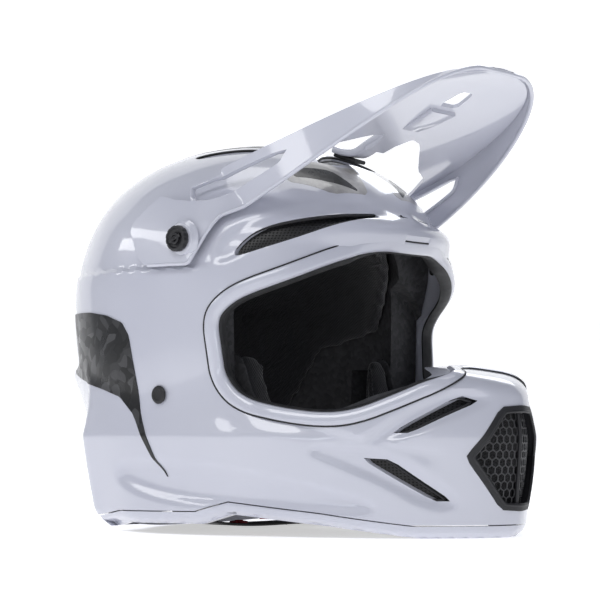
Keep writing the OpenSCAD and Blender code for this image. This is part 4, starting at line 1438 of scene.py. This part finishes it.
LOOP = [(12, 5), (3.2, 11.6), (0, 12.6), (-3.2, 11.6), (-3.8, 9.5), (-3.8, 0), (-3.2, -2.1), (0, -3.1),
        (3.2, -2.1), (12, 5)]
ring_path = [(anchor_w, strap_top), (anchor_w, 26), (anchor_w - 8, 17), (76, RING_LOW + 5)]
ring_path += [(RING_Y + a, RING_LOW + b) for a, b in LOOP]
tail_path = [(-anchor_w, strap_top), (-anchor_w, 26), (-anchor_w + 10, 10), (-60, WEB_LOW),
             (RING_Y - 6, WEB_LOW)]
for name, path, node, sew in (("strap_ring_side_webbing", ring_path, "chin_strap_ring_side", (34, 42)),
                              ("strap_tail_side_webbing", tail_path, "chin_strap_tail_side", (-10, 2))):
    strap, line = ribbon(name, path, 260)
    settle(strap, "helmet", [node], black_webbing, 60)
    rows = []
    for y in sew:
        at = line[np.argmin(np.abs(line[:, 1] - y) + np.abs(line[:, 2] - (14 if y > 10 else WEB_LOW)) * 0.3)]
        across = np.linspace(-9, 9, 9)[:, None] * np.array([1.0, 0, 0])
        down = np.broadcast_to([0.0, 0, -1], (9, 3))
        rows.append(stitched(name + "_row", at + across, 2.4, thread, 1.8, 0.3, 0.8, down))
    settle(joined(name + "_stitches", rows), "helmet", [], thread, 60)


# %% Rings and snap
def d_ring(z, name, body, node):
    r = WEB_W / 2 + 3.5
    turn = np.linspace(np.pi, 2 * np.pi, 40)
    arc = np.stack([RIVET[0] + r * np.cos(turn), RING_Y + r * np.sin(turn), np.full(40, z)], 1)
    bar = np.linspace([RIVET[0] + r, RING_Y, z], [RIVET[0] - r, RING_Y, z], 20)[1:-1]
    line = even(np.vstack([arc, bar]), 120)
    wire = swept(name, line, np.broadcast_to([0.0, 0, 1], line.shape), oval(RING_WIRE, RING_WIRE, 14))
    settle(wire, body, [node], steel_finish, 60)


d_ring(RING_HIGH, "ring_wire_upper", "ring_upper", "d_ring_upper")
d_ring(RING_LOW, "ring_wire_lower", "ring_lower", "d_ring_lower")
snap_base = WEB_LOW + WEB_T / 2
SNAP_PROFILE = [(0.8, 0.0), (6.0, 0.0), (6.0, 0.9), (5.6, 1.5), (4.4, 1.7), (4.2, 1.45), (3.0, 1.45),
                (2.6, 2.2), (1.2, 2.35)]
snap = lathe("strap_snap_cap", SNAP_PROFILE, (RIVET[0], -46, snap_base), (0, 0, 1), 48)
settle(snap, "helmet", ["strap_snap"], red_webbing, 40)

# %% [markdown]
# The strap's rivets show as black heads on the shell's sides. Their faces are dished, with a fine ring.

# %% Rivet heads
RIVET_PROFILE = [(2.4, -16), (2.4, -1.7), (5.5, -1.6), (5.6, -1.1), (5.1, -0.3), (4.3, -0.02), (3.4, -0.1),
                 (3.1, -0.45), (1.6, -0.55), (0.6, -0.55)]
for s in (-1, 1):
    label = "left" if s > 0 else "right"
    low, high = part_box("strap_rivet_" + label)
    face = max(abs(low.y), abs(high.y)) / MM
    head = lathe("rivet_head_" + label, RIVET_PROFILE, (RIVET[0], s * face, RIVET[2]), (0, s, 0), 48)
    settle(head, "helmet", ["strap_rivet_" + label], black_plastic, 40)

# %% [markdown]
# What is left of the CAD part is hardware out of sight: the nuts and strap anchors inside the shell,
# and the bushes behind the knobs. They keep their exact CAD shapes and get finishes of their own.

# %% CAD nodes that stay
KEPT = {"visor_nut_": steel_finish, "strap_anchor_": steel_finish, "visor_bush_": black_plastic}
for start, finish in KEPT.items():
    for label in ("left", "right"):
        node = bpy.data.objects[start + label]
        node.data.materials.clear()
        node.data.materials.append(finish)
        print("kept", node.name, "in", finish.name)

# %% [markdown]
# ## Light, floor and camera
# A pale sweep stands in for the studio's paper. Two large soft lamps and three narrower ones lay broad
# highlights over the paint, which show its shape.

# %% Studio
SENSOR = 36
CAMERA_AZ, CAMERA_TILT = math.radians(40), math.radians(-3.7)
CAMERA_AWAY, CAMERA_RIGHT, CAMERA_UP, CAMERA_FOCAL = 1.27, 0.017, 0.067, 1924 / 600 * SENSOR


def backdrop():
    profile = [(-2.2, 0.0), (1.9, 0.0)]
    bend = np.linspace(0.1, math.pi / 2, 12)
    profile += [(1.9 + 0.9 * math.sin(a), 0.9 - 0.9 * math.cos(a)) for a in bend]
    profile += [(2.8, 3.4)]
    away = np.array([-math.sin(CAMERA_AZ), math.cos(CAMERA_AZ)])
    across = np.array([away[1], -away[0]])
    points = [(*(away * d + across * s), h - 0.0002) for d, h in profile for s in (-4, 4)]
    faces = [(2 * i, 2 * i + 1, 2 * i + 3, 2 * i + 2) for i in range(len(profile) - 1)]
    obj = link_mesh("studio_sweep", np.array(points), faces, metres=True)
    paper = Finish("studio paper", (0.93, 0.93, 0.935), 0.9, Emission_Color=(1, 1, 1), Emission_Strength=0.54)
    paper.color(paper.ramp(paper.noise(3), (0.925, 0.925, 0.93), (0.94, 0.94, 0.942)))
    shade(obj, 60)
    obj.data.materials.append(paper.material)


def lamp(name, at, towards, width, height, watts, tint=(1, 1, 1)):
    data = bpy.data.lights.new(name, "AREA")
    data.shape, data.size, data.size_y, data.energy, data.color = "RECTANGLE", width, height, watts, tint
    obj = bpy.data.objects.new(name, data)
    obj.location = at
    obj.rotation_euler = (Vector(towards) - Vector(at)).to_track_quat("-Z", "Y").to_euler()
    scene.collection.objects.link(obj)


def camera():
    right = Vector((math.cos(CAMERA_AZ), math.sin(CAMERA_AZ), 0))
    back_flat = Vector((math.sin(CAMERA_AZ), -math.cos(CAMERA_AZ), 0))
    back = back_flat * math.cos(CAMERA_TILT) + Vector((0, 0, math.sin(CAMERA_TILT)))
    data = bpy.data.cameras.new("camera")
    data.lens, data.sensor_width, data.clip_start = CAMERA_FOCAL, SENSOR, 0.05
    obj = bpy.data.objects.new("camera", data)
    start = Vector((head_x * MM, 0, CAMERA_UP))
    obj.location = start + right * CAMERA_RIGHT + back_flat * CAMERA_AWAY
    obj.rotation_euler = (-back).to_track_quat("-Z", "Y").to_euler()
    scene.collection.objects.link(obj)
    scene.camera = obj


backdrop()
middle = (0, 0, 0.14)
lamp("key", (0.6, -1.7, 1.7), middle, 1.5, 0.6, 15)
lamp("long strip", (-1.1, -1.4, 1.0), middle, 1.9, 0.16, 5)
lamp("top", (-0.1, 0.2, 1.9), middle, 1.2, 1.0, 9)
lamp("low strip", (0.9, -1.5, 0.25), middle, 1.5, 0.12, 2.2, (0.9, 0.93, 1))
lamp("rim", (-0.6, 1.6, 1.3), middle, 1.0, 0.5, 5, (0.9, 0.93, 1))
camera()
world = bpy.data.worlds.new("studio world")
world.use_nodes = True
world.node_tree.nodes["Background"].inputs["Color"].default_value = (0.80, 0.86, 1.0, 1)
world.node_tree.nodes["Background"].inputs["Strength"].default_value = 0.2
scene.world = world
scene.view_settings.view_transform = "Standard"
print("camera at", [round(v, 3) for v in scene.camera.location])
